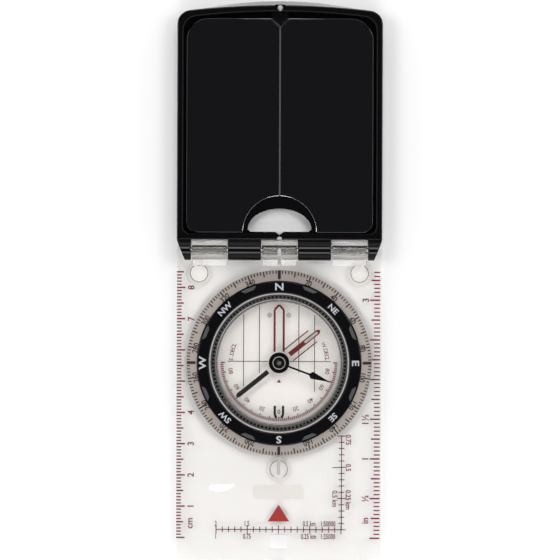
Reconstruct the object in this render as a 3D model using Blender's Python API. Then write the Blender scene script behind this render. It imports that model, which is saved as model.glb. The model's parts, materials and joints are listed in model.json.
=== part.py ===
"""Baseplate compass with a folding mirror lid.

Metres, +Z up. The compass lies open on a table at z = 0: its lid is folded flat along +Y, and the
origin is under the middle of the open length. Each moving group hangs from an empty on its own axis.
"""
import math

import bmesh
import bpy
from mathutils import Matrix, Vector

MM = 0.001

# Clearances
FIT_GAP = 0.2 * MM            # between pieces that touch
RUN_GAP = 0.25 * MM           # between pieces that slide or turn on each other
CUT_OVER = 0.5 * MM           # how far a cutter passes the face that it opens

# Baseplate
PLATE_WIDTH = 65.6 * MM
PLATE_REACH = 99.2 * MM       # hinge axis to the front edge
PLATE_TAIL = 2.4 * MM         # hinge axis to the rear edge
PLATE_THICK = 3.0 * MM
PLATE_CORNER = 3.0 * MM
FOOT_STAND = 0.6 * MM         # how far the feet lift the plate off the table

# Hinge
HINGE_RISE = 5.4 * MM         # plate's top face to the hinge axis
PIN_RADIUS = 0.9 * MM
PIN_BORE = 1.1 * MM
PLATE_KNUCKLE_RADIUS = 3.0 * MM
PLATE_KNUCKLE_WIDTH = 11.2 * MM
PLATE_KNUCKLE_PITCH = 22.3 * MM
KNUCKLE_WEB_REAR = 1.5 * MM   # how far the web under a plate knuckle reaches behind the axis
SHELF_REACH = 4.9 * MM        # hinge axis to the front of the shelf before each plate knuckle
SHELF_DROP = 1.6 * MM         # hinge axis down to the shelf at the knuckle's face
SHELF_SLOPE = 0.3
LID_KNUCKLE_RADIUS = 3.2 * MM
LID_BORE_END = 2.3 * MM       # from the lid's side in to the blind end of the pin's bore
LID_EAR_TAPER = 2.7 * MM      # how far the ends of the lid's bar come in towards its front

# Lid
LID_SIDE_STEP = 0.1 * MM      # how far the lid's side stands in from the plate's
LID_REACH = 80.1 * MM         # hinge axis to the middle of the tip
LID_DEPTH = 10.0 * MM
LID_FLOOR = 2.2 * MM
LID_WALL = 1.9 * MM
LID_NEAR_EDGE = 3.4 * MM      # hinge axis to the lid's near wall
LID_CORNER = 4.5 * MM
LID_CORNER_LEAD = 2.0 * MM    # straight stretch of the tip beside each corner
TIP_SAGITTA = 2.1 * MM        # how far the tip's arc stands ahead of its ends
TIP_SLOPE = 2.1 * MM          # how far the tip leans in from its back to its rim
TIP_NOTCH_WIDTH = 5.0 * MM
TIP_NOTCH_DEPTH = 1.6 * MM
TIP_BUMP_WIDTH = 5.4 * MM
TIP_BUMP_LENGTH = 2.5 * MM    # how far the bump points in from the mirror's far edge
BEAD_DEPTH = 1.0 * MM
TIP_BEAD_RADIUS = 0.95 * MM
TIP_BEAD_INSET = 2.9 * MM     # middle of the tip to the bead
WINDOW_BEAD_RADIUS = 0.85 * MM
WINDOW_BEAD_INSET = 0.15 * MM  # lid's near edge to the middle of the bead

# Sighting window and mirror
WINDOW_HALF_WIDTH = 10.2 * MM
WINDOW_HEIGHT = 7.4 * MM
WINDOW_CORNER = 0.8 * MM
WINDOW_NOTCH_WIDTH = 2.6 * MM
WINDOW_NOTCH_DEPTH = 1.2 * MM
WINDOW_BORDER = 1.5 * MM      # width of the surround between the window and the mirror
WINDOW_STEP = 0.3 * MM        # from the mirror's near edge to the window's straight edge
MIRROR_NEAR_GAP = 0.4 * MM
MIRROR_SIDE_GAP = 0.9 * MM
MIRROR_FAR_GAP = 1.8 * MM
MIRROR_THICK = 1.6 * MM
MIRROR_FAR_CORNER = 7.0 * MM
MIRROR_NEAR_CORNER = 3.4 * MM
TAPE_THICK = 0.5 * MM
TAPE_INSET = 1.5 * MM

# Dial
DIAL_TO_SHELF = 1.3 * MM      # dial's edge to the shelf before the hinge
DEGREE_WIDTH = 3.4 * MM       # width of the degree ring's slope
DIAL_EDGE = 0.9 * MM          # height of the degree ring's straight edge
DIAL_RISE = 3.0 * MM          # plate's top face to the degree ring's inner edge
GRIP_WIDTH = 3.8 * MM
GRIP_STAND = 0.6 * MM         # how far the grip ring stands above the capsule's cover
GRIP_BEVEL = 0.5 * MM
GRIP_NOTCHES = 8
GRIP_NOTCH_DEPTH = 0.5 * MM
GRIP_NOTCH_RADIUS = 3.2 * MM
GRIP_NOTCH_OUT = 1.2 * MM     # how far a recess's centre lies outside the grip ring
HUB_STEP = 0.8 * MM           # how far the hub stands in from the grip ring
HUB_WALL = 1.5 * MM
RETAINER_LAP = 2.1 * MM       # how far the retainer reaches outside the hub
RETAINER_THICK = 0.9 * MM
SNAP_LAP = 0.2 * MM           # how far the snap ring covers the gear's teeth
SNAP_WIDTH = 1.45 * MM
SNAP_SEAT_WIDTH = 0.3 * MM    # part of the snap ring that the grip ring covers
SNAP_THICK = 1.0 * MM

# Declination gears
GEAR_MODULE = 0.4 * MM
PINION_TEETH = 7
GEAR_TIP = 0.35 * MM          # tooth height outside the pitch circle
GEAR_ROOT = 0.5 * MM          # tooth depth inside the pitch circle
GEAR_THICK = 2.0 * MM
GEAR_RING = 0.3 * MM          # thickness of the toothed ring under its teeth
GEAR_DROP = 0.8 * MM          # how far the gear lies below the capsule's rim
SCREW_BEARING = -128.0        # compass bearing of the screw on the dial, in degrees
SCREW_HEAD_RADIUS = 1.5 * MM
SCREW_HEAD_THICK = 0.9 * MM
SCREW_SLOT = 0.5 * MM
GEAR_ROOT_SHARE = 0.62        # tooth widths as shares of the pitch
GEAR_TIP_SHARE = 0.22
PINION_ROOT_SHARE = 0.5
PINION_TIP_SHARE = 0.16

# Capsule
CAPSULE_RADIUS = 20.2 * MM
CAPSULE_WALL = 0.75 * MM
CAPSULE_FLOOR = 0.9 * MM
COVER_THICK = 1.0 * MM
COVER_SPIGOT = 0.7 * MM
COVER_BEVEL = 0.3 * MM

# Needle, from its pivot
NEEDLE_BEARING = 51.3         # degrees clockwise from the lid's direction at rest
NEEDLE_NORTH_GAP = 2.35 * MM  # needle's north end to the capsule's wall
NEEDLE_SOUTH_GAP = 1.85 * MM
NEEDLE_WIDTH = 5.0 * MM
NEEDLE_TIP_WIDTH = 1.5 * MM
NEEDLE_THICK = 0.4 * MM
NEEDLE_TAIL_START = 4.5 * MM  # where the wide blade ends and the narrow tail begins
NEEDLE_POINT = 3.3 * MM
NEEDLE_EYE_RADIUS = 3.1 * MM  # round middle of the blade
NEEDLE_EYE_HOLE = 2.3 * MM
HUB_CAP_RADIUS = 3.3 * MM
HUB_CAP_WALL = 0.5 * MM
HUB_CAP_LIFT = 0.35 * MM      # capsule floor to the hub cap
HUB_CAP_HEIGHT = 2.4 * MM
BLADE_ON_CAP = 1.3 * MM       # bottom of the hub cap to the blade
MAGNET_THICK = 0.7 * MM
JEWEL_RADIUS = 0.8 * MM
JEWEL_THICK = 1.0 * MM
JEWEL_SEAT = 0.1 * MM         # play around the jewel and the magnet
JEWEL_CUP = 0.4 * MM
PIVOT_RADIUS = 0.4 * MM
PIVOT_POINT = 0.6 * MM       # length of a pivot's point
PIVOT_FIT = 0.15 * MM         # glue gap around a pivot in its socket
PIVOT_BOSS_WALL = 0.65 * MM
PIVOT_BOSS_RISE = 0.15 * MM
PIVOT_SOCKET_FLOOR = 0.3 * MM

# Clinometer pointer, from its pivot
POINTER_BEARING = 110.4
POINTER_GAP = 1.75 * MM       # pointer's tip to the capsule's wall
POINTER_HEAD_START = 7.4 * MM # from the tip back to the head's notch
POINTER_HEAD_WIDEST = 6.5 * MM
POINTER_HEAD_END = 1.7 * MM
POINTER_HEAD_WIDTH = 2.4 * MM
POINTER_SHAFT_WIDTH = 0.6 * MM
POINTER_HUB_RADIUS = 2.2 * MM
POINTER_POINT_WIDTH = 0.5 * MM
POINTER_THICK = 0.4 * MM
CLINO_PIN_RADIUS = 0.35 * MM
CLINO_HEAD_RADIUS = 0.8 * MM
CLINO_HEAD_THICK = 0.35 * MM
CLINO_PIN_REACH = 0.35 * MM   # length of the pin between its upper head and the cover

# Magnifier, lanyard slot and index marks
LENS_RADIUS = 8.0 * MM
LENS_RISE = 0.6 * MM
LENS_TO_DIAL = 0.8 * MM       # lens's edge to the dial's edge
LENS_BEARING = -149.9         # compass bearing of the lens from the dial, in degrees
SLOT_WIDTH = 5.3 * MM
SLOT_LENGTH = 4.6 * MM
SLOT_TO_FRONT = 5.9 * MM      # middle of the slot to the front edge
SLOT_CORNER = 0.6 * MM
CHANNEL_DEPTH = 1.2 * MM
INDEX_WIDTH = 1.1 * MM
INDEX_THICK = 0.5 * MM
INDEX_SINK = 0.4 * MM         # how deep a strip lies in its groove
FRONT_INDEX_LENGTH = 5.9 * MM
REAR_INDEX_START = 80.0       # where the rear strip begins on the knuckle, in degrees from +Y
REAR_INDEX_REACH = 4.4 * MM

# Feet
FOOT_RADIUS = 4.2 * MM
FOOT_PLUG_RADIUS = 2.7 * MM
FOOT_FLANGE = 1.2 * MM
FOOT_TONGUE_WIDTH = 3.1 * MM
FOOT_TONGUE_REACH = 5.0 * MM
FOOT_TO_SIDE = 7.1 * MM       # foot's centre to the plate's side
FOOT_TO_HINGE = 7.3 * MM      # side foot's centre to the hinge axis
FOOT_TO_RETAINER = 2.4 * MM   # centre foot's flange to the dial's retainer
CENTRE_STEM_WIDTH = 2.3 * MM
CENTRE_BAR_WIDTH = 16.2 * MM
CENTRE_BAR_START = 5.3 * MM
CENTRE_BAR_END = 9.3 * MM
CENTRE_BAR_CORNER = 1.0 * MM

# Worked out from the sizes above
GEAR_TEETH = round(2 * (CAPSULE_RADIUS + FIT_GAP + GEAR_RING + GEAR_ROOT) / GEAR_MODULE)
GEAR_PITCH = GEAR_MODULE * GEAR_TEETH / 2
PINION_PITCH = GEAR_MODULE * PINION_TEETH / 2
SCREW_OFFSET = GEAR_PITCH + PINION_PITCH
CAPSULE_INNER = CAPSULE_RADIUS - CAPSULE_WALL
NEEDLE_NORTH = CAPSULE_INNER - NEEDLE_NORTH_GAP
NEEDLE_SOUTH = CAPSULE_INNER - NEEDLE_SOUTH_GAP
POINTER_LENGTH = CAPSULE_INNER - POINTER_GAP
RETAINER_INNER = CAPSULE_RADIUS + FIT_GAP
SNAP_INNER = GEAR_PITCH + GEAR_TIP - SNAP_LAP
SNAP_OUTER = SNAP_INNER + SNAP_WIDTH
GRIP_INNER = SNAP_OUTER - SNAP_SEAT_WIDTH
GRIP_RADIUS = GRIP_INNER + GRIP_WIDTH
HUB_RADIUS = GRIP_RADIUS - HUB_STEP
RETAINER_RADIUS = HUB_RADIUS + RETAINER_LAP
DIAL_RADIUS = GRIP_RADIUS + DEGREE_WIDTH

HINGE_Y = (PLATE_REACH - LID_REACH) / 2
DIAL_Y = HINGE_Y - SHELF_REACH - DIAL_TO_SHELF - DIAL_RADIUS
LENS_OFFSET = DIAL_RADIUS + LENS_TO_DIAL + LENS_RADIUS
PLATE_TOP = FOOT_STAND + PLATE_THICK
HINGE_HEIGHT = PLATE_TOP + HINGE_RISE

LID_WIDTH = PLATE_WIDTH - 2 * LID_SIDE_STEP
LID_RIM = LID_DEPTH - HINGE_HEIGHT        # from the hinge axis, as all of the lid's heights
LID_FLOOR_Z = LID_FLOOR - HINGE_HEIGHT
MIRROR_WIDTH = LID_WIDTH - 2 * (LID_WALL + MIRROR_SIDE_GAP)
MIRROR_NEAR = LID_NEAR_EDGE + LID_WALL + MIRROR_NEAR_GAP
MIRROR_FAR = LID_REACH - TIP_SLOPE - LID_WALL - MIRROR_FAR_GAP
TIP_BUMP_REACH = MIRROR_FAR - TIP_BUMP_LENGTH
TIP_BEAD_REACH = LID_REACH - TIP_BEAD_INSET
WINDOW_BEAD_REACH = LID_NEAR_EDGE + WINDOW_BEAD_INSET
WINDOW_NEAR = MIRROR_NEAR + WINDOW_STEP
ARCH_RADIUS = WINDOW_HALF_WIDTH + WINDOW_BORDER

RETAINER_LOW = FOOT_STAND + FIT_GAP
RETAINER_TOP = RETAINER_LOW + RETAINER_THICK
HUB_BASE_Z = RETAINER_TOP + FIT_GAP
CAPSULE_BASE_Z = RETAINER_TOP + RUN_GAP
FLOOR_TOP = CAPSULE_BASE_Z + CAPSULE_FLOOR
HUB_CAP_BASE_Z = FLOOR_TOP + HUB_CAP_LIFT
HUB_CAP_TOP_Z = HUB_CAP_BASE_Z + HUB_CAP_HEIGHT
NEEDLE_Z = HUB_CAP_BASE_Z + BLADE_ON_CAP
POINTER_Z = HUB_CAP_TOP_Z + CLINO_HEAD_THICK + 2 * RUN_GAP
POINTER_HIGH = POINTER_Z + POINTER_THICK + RUN_GAP
COVER_LOW = POINTER_HIGH + CLINO_HEAD_THICK + CLINO_PIN_REACH
COVER_TOP = COVER_LOW + COVER_THICK
CAPSULE_RIM_Z = COVER_LOW - FIT_GAP
GEAR_TOP = CAPSULE_RIM_Z - GEAR_DROP
GRIP_TOP = COVER_TOP + GRIP_STAND
DIAL_TOP = PLATE_TOP + DIAL_RISE

ROUND_STEPS = 48
SMALL_STEPS = 20
PIN_STEPS = 16                # pins, screws and small holes
HUB_STEPS = 32                # magnifier and needle hub
CURVE_STEPS = 16              # window's half ellipse
STRIP_STEPS = 8
LENS_STEPS = 4
TIP_ARC_STEPS = 4
CORNER_STEPS = 5


# Shape tools

def polar(radius, angle, centre=(0, 0)):
    """Point at an angle in radians, counted from +X."""
    return (centre[0] + radius * math.cos(angle), centre[1] + radius * math.sin(angle))


def arc(radius, start, end, steps, centre=(0, 0)):
    """Points along an arc, with both ends; angles in degrees from +X."""
    turns = (math.radians(start + (end - start) * step / steps) for step in range(steps + 1))
    return [polar(radius, turn, centre) for turn in turns]


def circle(radius, steps, centre=(0, 0)):
    return arc(radius, 0, 360, steps, centre)[:-1]


def rounded(corners, steps=CORNER_STEPS):
    """Outline through corners (x, y, radius), each turned into an arc of its radius."""
    outline = []
    for index, (x, y, radius) in enumerate(corners):
        corner = Vector((x, y))
        if radius == 0:
            outline.append(tuple(corner))
            continue
        back = (Vector(corners[index - 1][:2]) - corner).normalized()
        ahead = (Vector(corners[(index + 1) % len(corners)][:2]) - corner).normalized()
        half = back.angle(ahead) / 2
        centre = corner + (back + ahead).normalized() * radius / math.sin(half)
        first = corner + back * radius / math.tan(half) - centre
        last = corner + ahead * radius / math.tan(half) - centre
        start = math.atan2(first.y, first.x)
        sweep = math.remainder(math.atan2(last.y, last.x) - start, math.tau)
        outline += [polar(radius, start + sweep * step / steps, centre) for step in range(steps + 1)]
    return outline


def box_outline(x_low, x_high, y_low, y_high, radius=0.0):
    corners = ((x_low, y_low), (x_high, y_low), (x_high, y_high), (x_low, y_high))
    return rounded([(x, y, radius) for x, y in corners])


def loft(low_outline, high_outline, low, high):
    """Closed solid between two outlines that have the same number of points."""
    mesh = bmesh.new()
    bottom = [mesh.verts.new((x, y, low)) for x, y in low_outline]
    top = [mesh.verts.new((x, y, high)) for x, y in high_outline]
    mesh.faces.new(bottom)
    mesh.faces.new(top)
    for index in range(len(bottom)):
        mesh.faces.new((bottom[index - 1], bottom[index], top[index], top[index - 1]))
    bmesh.ops.recalc_face_normals(mesh, faces=mesh.faces)
    return mesh


def prism(outline, low, high):
    return loft(outline, outline, low, high)


def across(outline, x_low, x_high):
    """Prism of an outline in (y, z), run along X."""
    mesh = prism(outline, x_low, x_high)
    bmesh.ops.transform(mesh, matrix=Matrix(((0, 0, 1, 0), (1, 0, 0, 0), (0, 1, 0, 0), (0, 0, 0, 1))),
                        verts=mesh.verts)
    return mesh


def turned(profile, steps=ROUND_STEPS):
    """Solid turned about Z from (radius, height) points; a profile may start and end on the axis."""
    mesh = bmesh.new()
    verts = [mesh.verts.new((radius, 0, height)) for radius, height in profile]
    on_axis = profile[0][0] == 0
    edges = [mesh.edges.new((verts[index - 1], verts[index])) for index in range(int(on_axis), len(verts))]
    bmesh.ops.spin(mesh, geom=verts + edges, cent=(0, 0, 0), axis=(0, 0, 1), angle=math.tau,
                   steps=steps, use_merge=True)
    bmesh.ops.remove_doubles(mesh, verts=mesh.verts, dist=1e-7)
    bmesh.ops.recalc_face_normals(mesh, faces=mesh.faces)
    return mesh


def washer(inner, outer, low, high, steps=ROUND_STEPS):
    return turned([(inner, low), (outer, low), (outer, high), (inner, high)], steps)


def turned_along_x(profile, steps):
    """Solid turned about X from (radius, x) points that start and end on the axis."""
    mesh = turned(profile, steps)
    bmesh.ops.rotate(mesh, cent=(0, 0, 0), matrix=Matrix.Rotation(math.radians(90), 3, "Y"),
                     verts=mesh.verts)
    return mesh


def merged(meshes):
    """One mesh that holds several bodies."""
    whole = bmesh.new()
    for mesh in meshes:
        scratch = bpy.data.meshes.new("scratch")
        mesh.to_mesh(scratch)
        mesh.free()
        whole.from_mesh(scratch)
        bpy.data.meshes.remove(scratch)
    return whole


def move(mesh, x=0.0, y=0.0, z=0.0):
    bmesh.ops.translate(mesh, vec=(x, y, z), verts=mesh.verts)
    return mesh


# Objects

def finish(name, colour, roughness, metallic=0.0, clear=0.0):
    material = bpy.data.materials.new(name)
    material.use_nodes = True
    shader = material.node_tree.nodes["Principled BSDF"]
    shader.inputs["Base Color"].default_value = (*colour, 1)
    shader.inputs["Roughness"].default_value = roughness
    shader.inputs["Metallic"].default_value = metallic
    shader.inputs["Transmission Weight"].default_value = clear
    return material


def add_object(name, mesh, material=None, parent=None):
    data = bpy.data.meshes.new(name)
    mesh.to_mesh(data)
    mesh.free()
    data.shade_smooth()
    data.set_sharp_from_angle(angle=math.radians(30))
    if material:
        data.materials.append(material)
    piece = bpy.data.objects.new(name, data)
    bpy.context.collection.objects.link(piece)
    piece.parent = parent
    return piece


def add_axis(name, location, parent=None, turn=0.0):
    axis = bpy.data.objects.new(name, None)
    axis.empty_display_size = 5 * MM
    axis.location = location
    axis.rotation_euler.z = turn
    axis.parent = parent
    bpy.context.collection.objects.link(axis)
    return axis


def apply_tool(piece, name, mesh, operation):
    """Cut a shape from a piece, or join it on; the tool stays as a hidden wire object."""
    tool = add_object(f"{piece.name}_{name}_tool", mesh, parent=piece.parent)
    tool.hide_render = True
    tool.display_type = "WIRE"
    modifier = piece.modifiers.new(name, "BOOLEAN")
    modifier.operation = operation
    modifier.solver = "EXACT"
    modifier.object = tool


def cut(piece, name, mesh):
    apply_tool(piece, name, mesh, "DIFFERENCE")


def join(piece, name, mesh):
    apply_tool(piece, name, mesh, "UNION")


# Baseplate and what is fixed to it

def knuckle_centres():
    return [step * PLATE_KNUCKLE_PITCH for step in (-1, 0, 1)]


def side_foot_outline(grow=0.0):
    """Round flange with a tongue towards the hinge, from the foot's own centre."""
    half = FOOT_TONGUE_WIDTH / 2 + grow
    radius = FOOT_RADIUS + grow
    open_angle = math.degrees(math.asin(half / radius))
    reach = FOOT_TONGUE_REACH + grow
    return [(half, reach), (-half, reach)] + arc(radius, 90 + open_angle, 450 - open_angle, SMALL_STEPS)


def centre_foot_outline(grow=0.0):
    """Round flange with a stem and a cross bar towards the front edge, from the foot's own centre."""
    stem = CENTRE_STEM_WIDTH / 2 + grow
    radius = FOOT_RADIUS + grow
    open_angle = math.degrees(math.asin(stem / radius))
    bar = CENTRE_BAR_WIDTH / 2 + grow
    near = -CENTRE_BAR_START + grow
    far = -CENTRE_BAR_END - grow
    corner = CENTRE_BAR_CORNER
    left = rounded([(-stem, near, 0), (-bar, near, corner), (-bar, far, corner), (bar, far, corner),
                    (bar, near, corner), (stem, near, 0)])
    return left + arc(radius, -90 + open_angle, 270 - open_angle, SMALL_STEPS)


def foot_places():
    """Each foot's name, centre, outline function and the height of its plug's top."""
    x = PLATE_WIDTH / 2 - FOOT_TO_SIDE
    plug_top = PLATE_TOP - FIT_GAP
    under_index = PLATE_TOP - INDEX_SINK - 2 * FIT_GAP
    y = HINGE_Y - FOOT_TO_HINGE
    centre_y = DIAL_Y - RETAINER_RADIUS - FOOT_TO_RETAINER - FOOT_RADIUS
    return (("foot_left", (-x, y), side_foot_outline, plug_top),
            ("foot_right", (x, y), side_foot_outline, plug_top),
            ("foot_centre", (0, centre_y), centre_foot_outline, under_index))


def shelf_z(reach):
    """Height of the shelf before a plate knuckle, that far in front of the hinge axis."""
    return HINGE_HEIGHT - SHELF_DROP - (reach - PLATE_KNUCKLE_RADIUS) * SHELF_SLOPE


def plate_knuckle_outline():
    """Side view of a plate knuckle: a round head on a web, with a sloping shelf in front."""
    radius = PLATE_KNUCKLE_RADIUS
    root = PLATE_TOP - CUT_OVER
    lean = math.degrees(math.acos(KNUCKLE_WEB_REAR / radius))
    head = arc(radius, -lean, 180, SMALL_STEPS, (HINGE_Y, HINGE_HEIGHT))
    front = HINGE_Y - SHELF_REACH
    return ([(HINGE_Y + KNUCKLE_WEB_REAR, root)] + head
            + [(HINGE_Y - radius, shelf_z(radius)), (front, shelf_z(SHELF_REACH)), (front, root)])


def rear_index_outline(grow=0.0):
    """Side view of the rear strip: over the knuckle's head, down its face and along the shelf."""
    proud = INDEX_THICK - INDEX_SINK + grow
    sunk = INDEX_SINK + grow
    outer = PLATE_KNUCKLE_RADIUS + proud
    inner = PLATE_KNUCKLE_RADIUS - sunk
    centre = (HINGE_Y, HINGE_HEIGHT)
    start = REAR_INDEX_START - math.degrees(grow / outer)
    toe = REAR_INDEX_REACH + grow
    return (arc(outer, start, 180, STRIP_STEPS, centre)
            + [(HINGE_Y - outer, shelf_z(outer) + proud), (HINGE_Y - toe, shelf_z(toe) + proud),
               (HINGE_Y - toe, shelf_z(toe) - sunk), (HINGE_Y - inner, shelf_z(inner) - sunk)]
            + arc(inner, 180, start, STRIP_STEPS, centre))


def front_index_box(grow=0.0):
    half = INDEX_WIDTH / 2 + grow
    start = DIAL_Y - DIAL_RADIUS - RUN_GAP
    low = PLATE_TOP - INDEX_SINK - grow
    outline = box_outline(-half, half, start - FRONT_INDEX_LENGTH - grow, start + grow)
    return prism(outline, low, low + INDEX_THICK + 2 * grow)


def make_baseplate(material):
    half = PLATE_WIDTH / 2
    front = HINGE_Y - PLATE_REACH
    rear = HINGE_Y + PLATE_TAIL
    under = FOOT_STAND - CUT_OVER
    over = PLATE_TOP + CUT_OVER
    outline = rounded([(-half, front, PLATE_CORNER), (half, front, PLATE_CORNER),
                       (half, rear, PLATE_CORNER / 2), (-half, rear, PLATE_CORNER / 2)])
    plate = add_object("baseplate", prism(outline, FOOT_STAND, PLATE_TOP), material)

    knuckles = [across(plate_knuckle_outline(), x - PLATE_KNUCKLE_WIDTH / 2, x + PLATE_KNUCKLE_WIDTH / 2)
                for x in knuckle_centres()]
    join(plate, "knuckles", merged(knuckles))
    lens_curve = (LENS_RADIUS ** 2 + LENS_RISE ** 2) / (2 * LENS_RISE)
    bend = math.degrees(math.asin(LENS_RADIUS / lens_curve))
    lens = [(0, PLATE_TOP - CUT_OVER), (LENS_RADIUS, PLATE_TOP - CUT_OVER)]
    lens_centre = (0, PLATE_TOP + LENS_RISE - lens_curve)
    lens += arc(lens_curve, 90 - bend, 90, LENS_STEPS, lens_centre)[:-1]
    lens.append((0, PLATE_TOP + LENS_RISE))
    lens_place = polar(LENS_OFFSET, math.radians(90 - LENS_BEARING), (0, DIAL_Y))
    join(plate, "magnifier", move(turned(lens, HUB_STEPS), *lens_place))

    hub_hole = HUB_RADIUS + RUN_GAP
    step = RETAINER_TOP + RUN_GAP
    dial_hole = turned([(0, under), (RETAINER_RADIUS + RUN_GAP, under), (RETAINER_RADIUS + RUN_GAP, step),
                        (hub_hole, step), (hub_hole, over), (0, over)])
    cut(plate, "dial_hole", move(dial_hole, 0, DIAL_Y))
    bore = turned_along_x([(0, -half), (PIN_BORE, -half), (PIN_BORE, half), (0, half)], SMALL_STEPS)
    cut(plate, "pin_bore", move(bore, 0, HINGE_Y, HINGE_HEIGHT))
    slot_y = front + SLOT_TO_FRONT
    slot_half = SLOT_WIDTH / 2
    slot = box_outline(-slot_half, slot_half, slot_y - SLOT_LENGTH / 2, slot_y + SLOT_LENGTH / 2,
                       SLOT_CORNER)
    cut(plate, "lanyard_slot", prism(slot, under, over))
    channel = box_outline(-slot_half + SLOT_CORNER, slot_half - SLOT_CORNER, front - CUT_OVER, slot_y)
    cut(plate, "lanyard_channel", prism(channel, under, FOOT_STAND + CHANNEL_DEPTH))
    for name, (x, y), outline_of, _ in foot_places():
        recess = prism(outline_of(FIT_GAP), under, FOOT_FLANGE + FIT_GAP)
        cut(plate, f"{name}_recess", move(recess, x, y))
        hole = prism(circle(FOOT_PLUG_RADIUS + FIT_GAP, SMALL_STEPS), FOOT_FLANGE, over)
        cut(plate, f"{name}_hole", move(hole, x, y))
    half_index = INDEX_WIDTH / 2 + FIT_GAP
    cut(plate, "rear_groove", across(rear_index_outline(FIT_GAP), -half_index, half_index))
    cut(plate, "front_groove", front_index_box(FIT_GAP))


def make_feet(material):
    for name, (x, y), outline_of, plug_top in foot_places():
        foot = add_object(name, move(prism(outline_of(), 0, FOOT_FLANGE), x, y), material)
        plug = prism(circle(FOOT_PLUG_RADIUS, SMALL_STEPS), FOOT_FLANGE / 2, plug_top)
        join(foot, "plug", move(plug, x, y))


def make_index_strips(material):
    half = INDEX_WIDTH / 2
    add_object("rear_index", across(rear_index_outline(), -half, half), material)
    add_object("front_index", front_index_box(), material)


def make_hinge_pin(material):
    half = LID_WIDTH / 2 - LID_BORE_END - FIT_GAP
    bevel = PIN_RADIUS / 4
    profile = [(0, -half), (PIN_RADIUS - bevel, -half), (PIN_RADIUS, bevel - half),
               (PIN_RADIUS, half - bevel), (PIN_RADIUS - bevel, half), (0, half)]
    add_object("hinge_pin", move(turned_along_x(profile, PIN_STEPS), 0, HINGE_Y, HINGE_HEIGHT), material)


# Lid, from the hinge axis

def lid_outline(tip):
    """Plan of the lid, from its near edge to a shallow arc at the tip."""
    half = LID_WIDTH / 2
    radius = (half ** 2 + TIP_SAGITTA ** 2) / (2 * TIP_SAGITTA)

    def arc_y(x):
        return tip - radius + math.sqrt(radius ** 2 - x ** 2)

    reach = half - LID_CORNER - LID_CORNER_LEAD
    spots = [reach * step / TIP_ARC_STEPS for step in range(TIP_ARC_STEPS, -TIP_ARC_STEPS - 1, -1)]
    arc_points = [(x, arc_y(x), 0) for x in spots]
    return rounded([(-half, LID_NEAR_EDGE, 0), (half, LID_NEAR_EDGE, 0), (half, arc_y(half), LID_CORNER)]
                   + arc_points + [(-half, arc_y(half), LID_CORNER)])


def lid_hollow_outline():
    half = LID_WIDTH / 2 - LID_WALL
    near = LID_NEAR_EDGE + LID_WALL
    far = LID_REACH - TIP_SLOPE - LID_WALL
    corner = LID_CORNER
    return rounded([(-half, near, corner / 2), (half, near, corner / 2),
                    (half, far - TIP_SAGITTA, corner), (0, far, 0), (-half, far - TIP_SAGITTA, corner)])


def window_outline():
    """Half ellipse over a straight edge with a small sighting notch in its middle."""
    rise = WINDOW_HEIGHT - WINDOW_CORNER
    half = WINDOW_HALF_WIDTH
    turns = [math.pi * step / CURVE_STEPS for step in range(CURVE_STEPS + 1)]
    top = [(half * math.cos(turn), WINDOW_NEAR + WINDOW_CORNER + rise * math.sin(turn)) for turn in turns]
    notch = WINDOW_NOTCH_WIDTH / 2
    return [(WINDOW_CORNER - half, WINDOW_NEAR), (-notch, WINDOW_NEAR), (0, WINDOW_NEAR - WINDOW_NOTCH_DEPTH),
            (notch, WINDOW_NEAR), (half - WINDOW_CORNER, WINDOW_NEAR)] + top


def mirror_outline(inset=0.0):
    """Mirror with rounded corners, the arch around the window and the notch for the tip's bump."""
    half = MIRROR_WIDTH / 2 - inset
    near = MIRROR_NEAR + inset
    far = MIRROR_FAR - inset
    notch = TIP_BUMP_WIDTH / 2 + FIT_GAP + inset
    notch_reach = TIP_BUMP_REACH - FIT_GAP - inset
    arch = arc(ARCH_RADIUS + inset, 180, 0, SMALL_STEPS, (0, near))
    near_corner = MIRROR_NEAR_CORNER
    far_corner = MIRROR_FAR_CORNER
    left = rounded([(arch[0][0], near, 0), (-half, near, near_corner), (-half, far, far_corner),
                    (-notch, far, 0)])
    right = rounded([(notch, far, 0), (half, far, far_corner), (half, near, near_corner),
                     (arch[-1][0], near, 0)])
    return left + [(0, notch_reach)] + right + arch[-2:0:-1]


def lid_knuckle_spans():
    """X ranges of the lid's four knuckles, between and outside the plate's three."""
    reach = PLATE_KNUCKLE_WIDTH / 2 + RUN_GAP
    end = (LID_WIDTH - FIT_GAP) / 2
    edges = [-end]
    for x in knuckle_centres():
        edges += [x - reach, x + reach]
    edges.append(end)
    return list(zip(edges[::2], edges[1::2]))


def knuckle_profile(low, high):
    """Radius and x of one lid knuckle."""
    return [(0, low), (LID_KNUCKLE_RADIUS, low), (LID_KNUCKLE_RADIUS, high), (0, high)]


def ear_wedge(side):
    """Plan of the corner taken off one end of the bar, so that it narrows from the lid's side."""
    half = LID_WIDTH / 2
    start = LID_NEAR_EDGE - FIT_GAP / 2
    front = -LID_KNUCKLE_RADIUS - FIT_GAP
    return [(side * half, start), (side * (half - LID_EAR_TAPER), front), (side * (half + CUT_OVER), front),
            (side * (half + CUT_OVER), start)]


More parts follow.
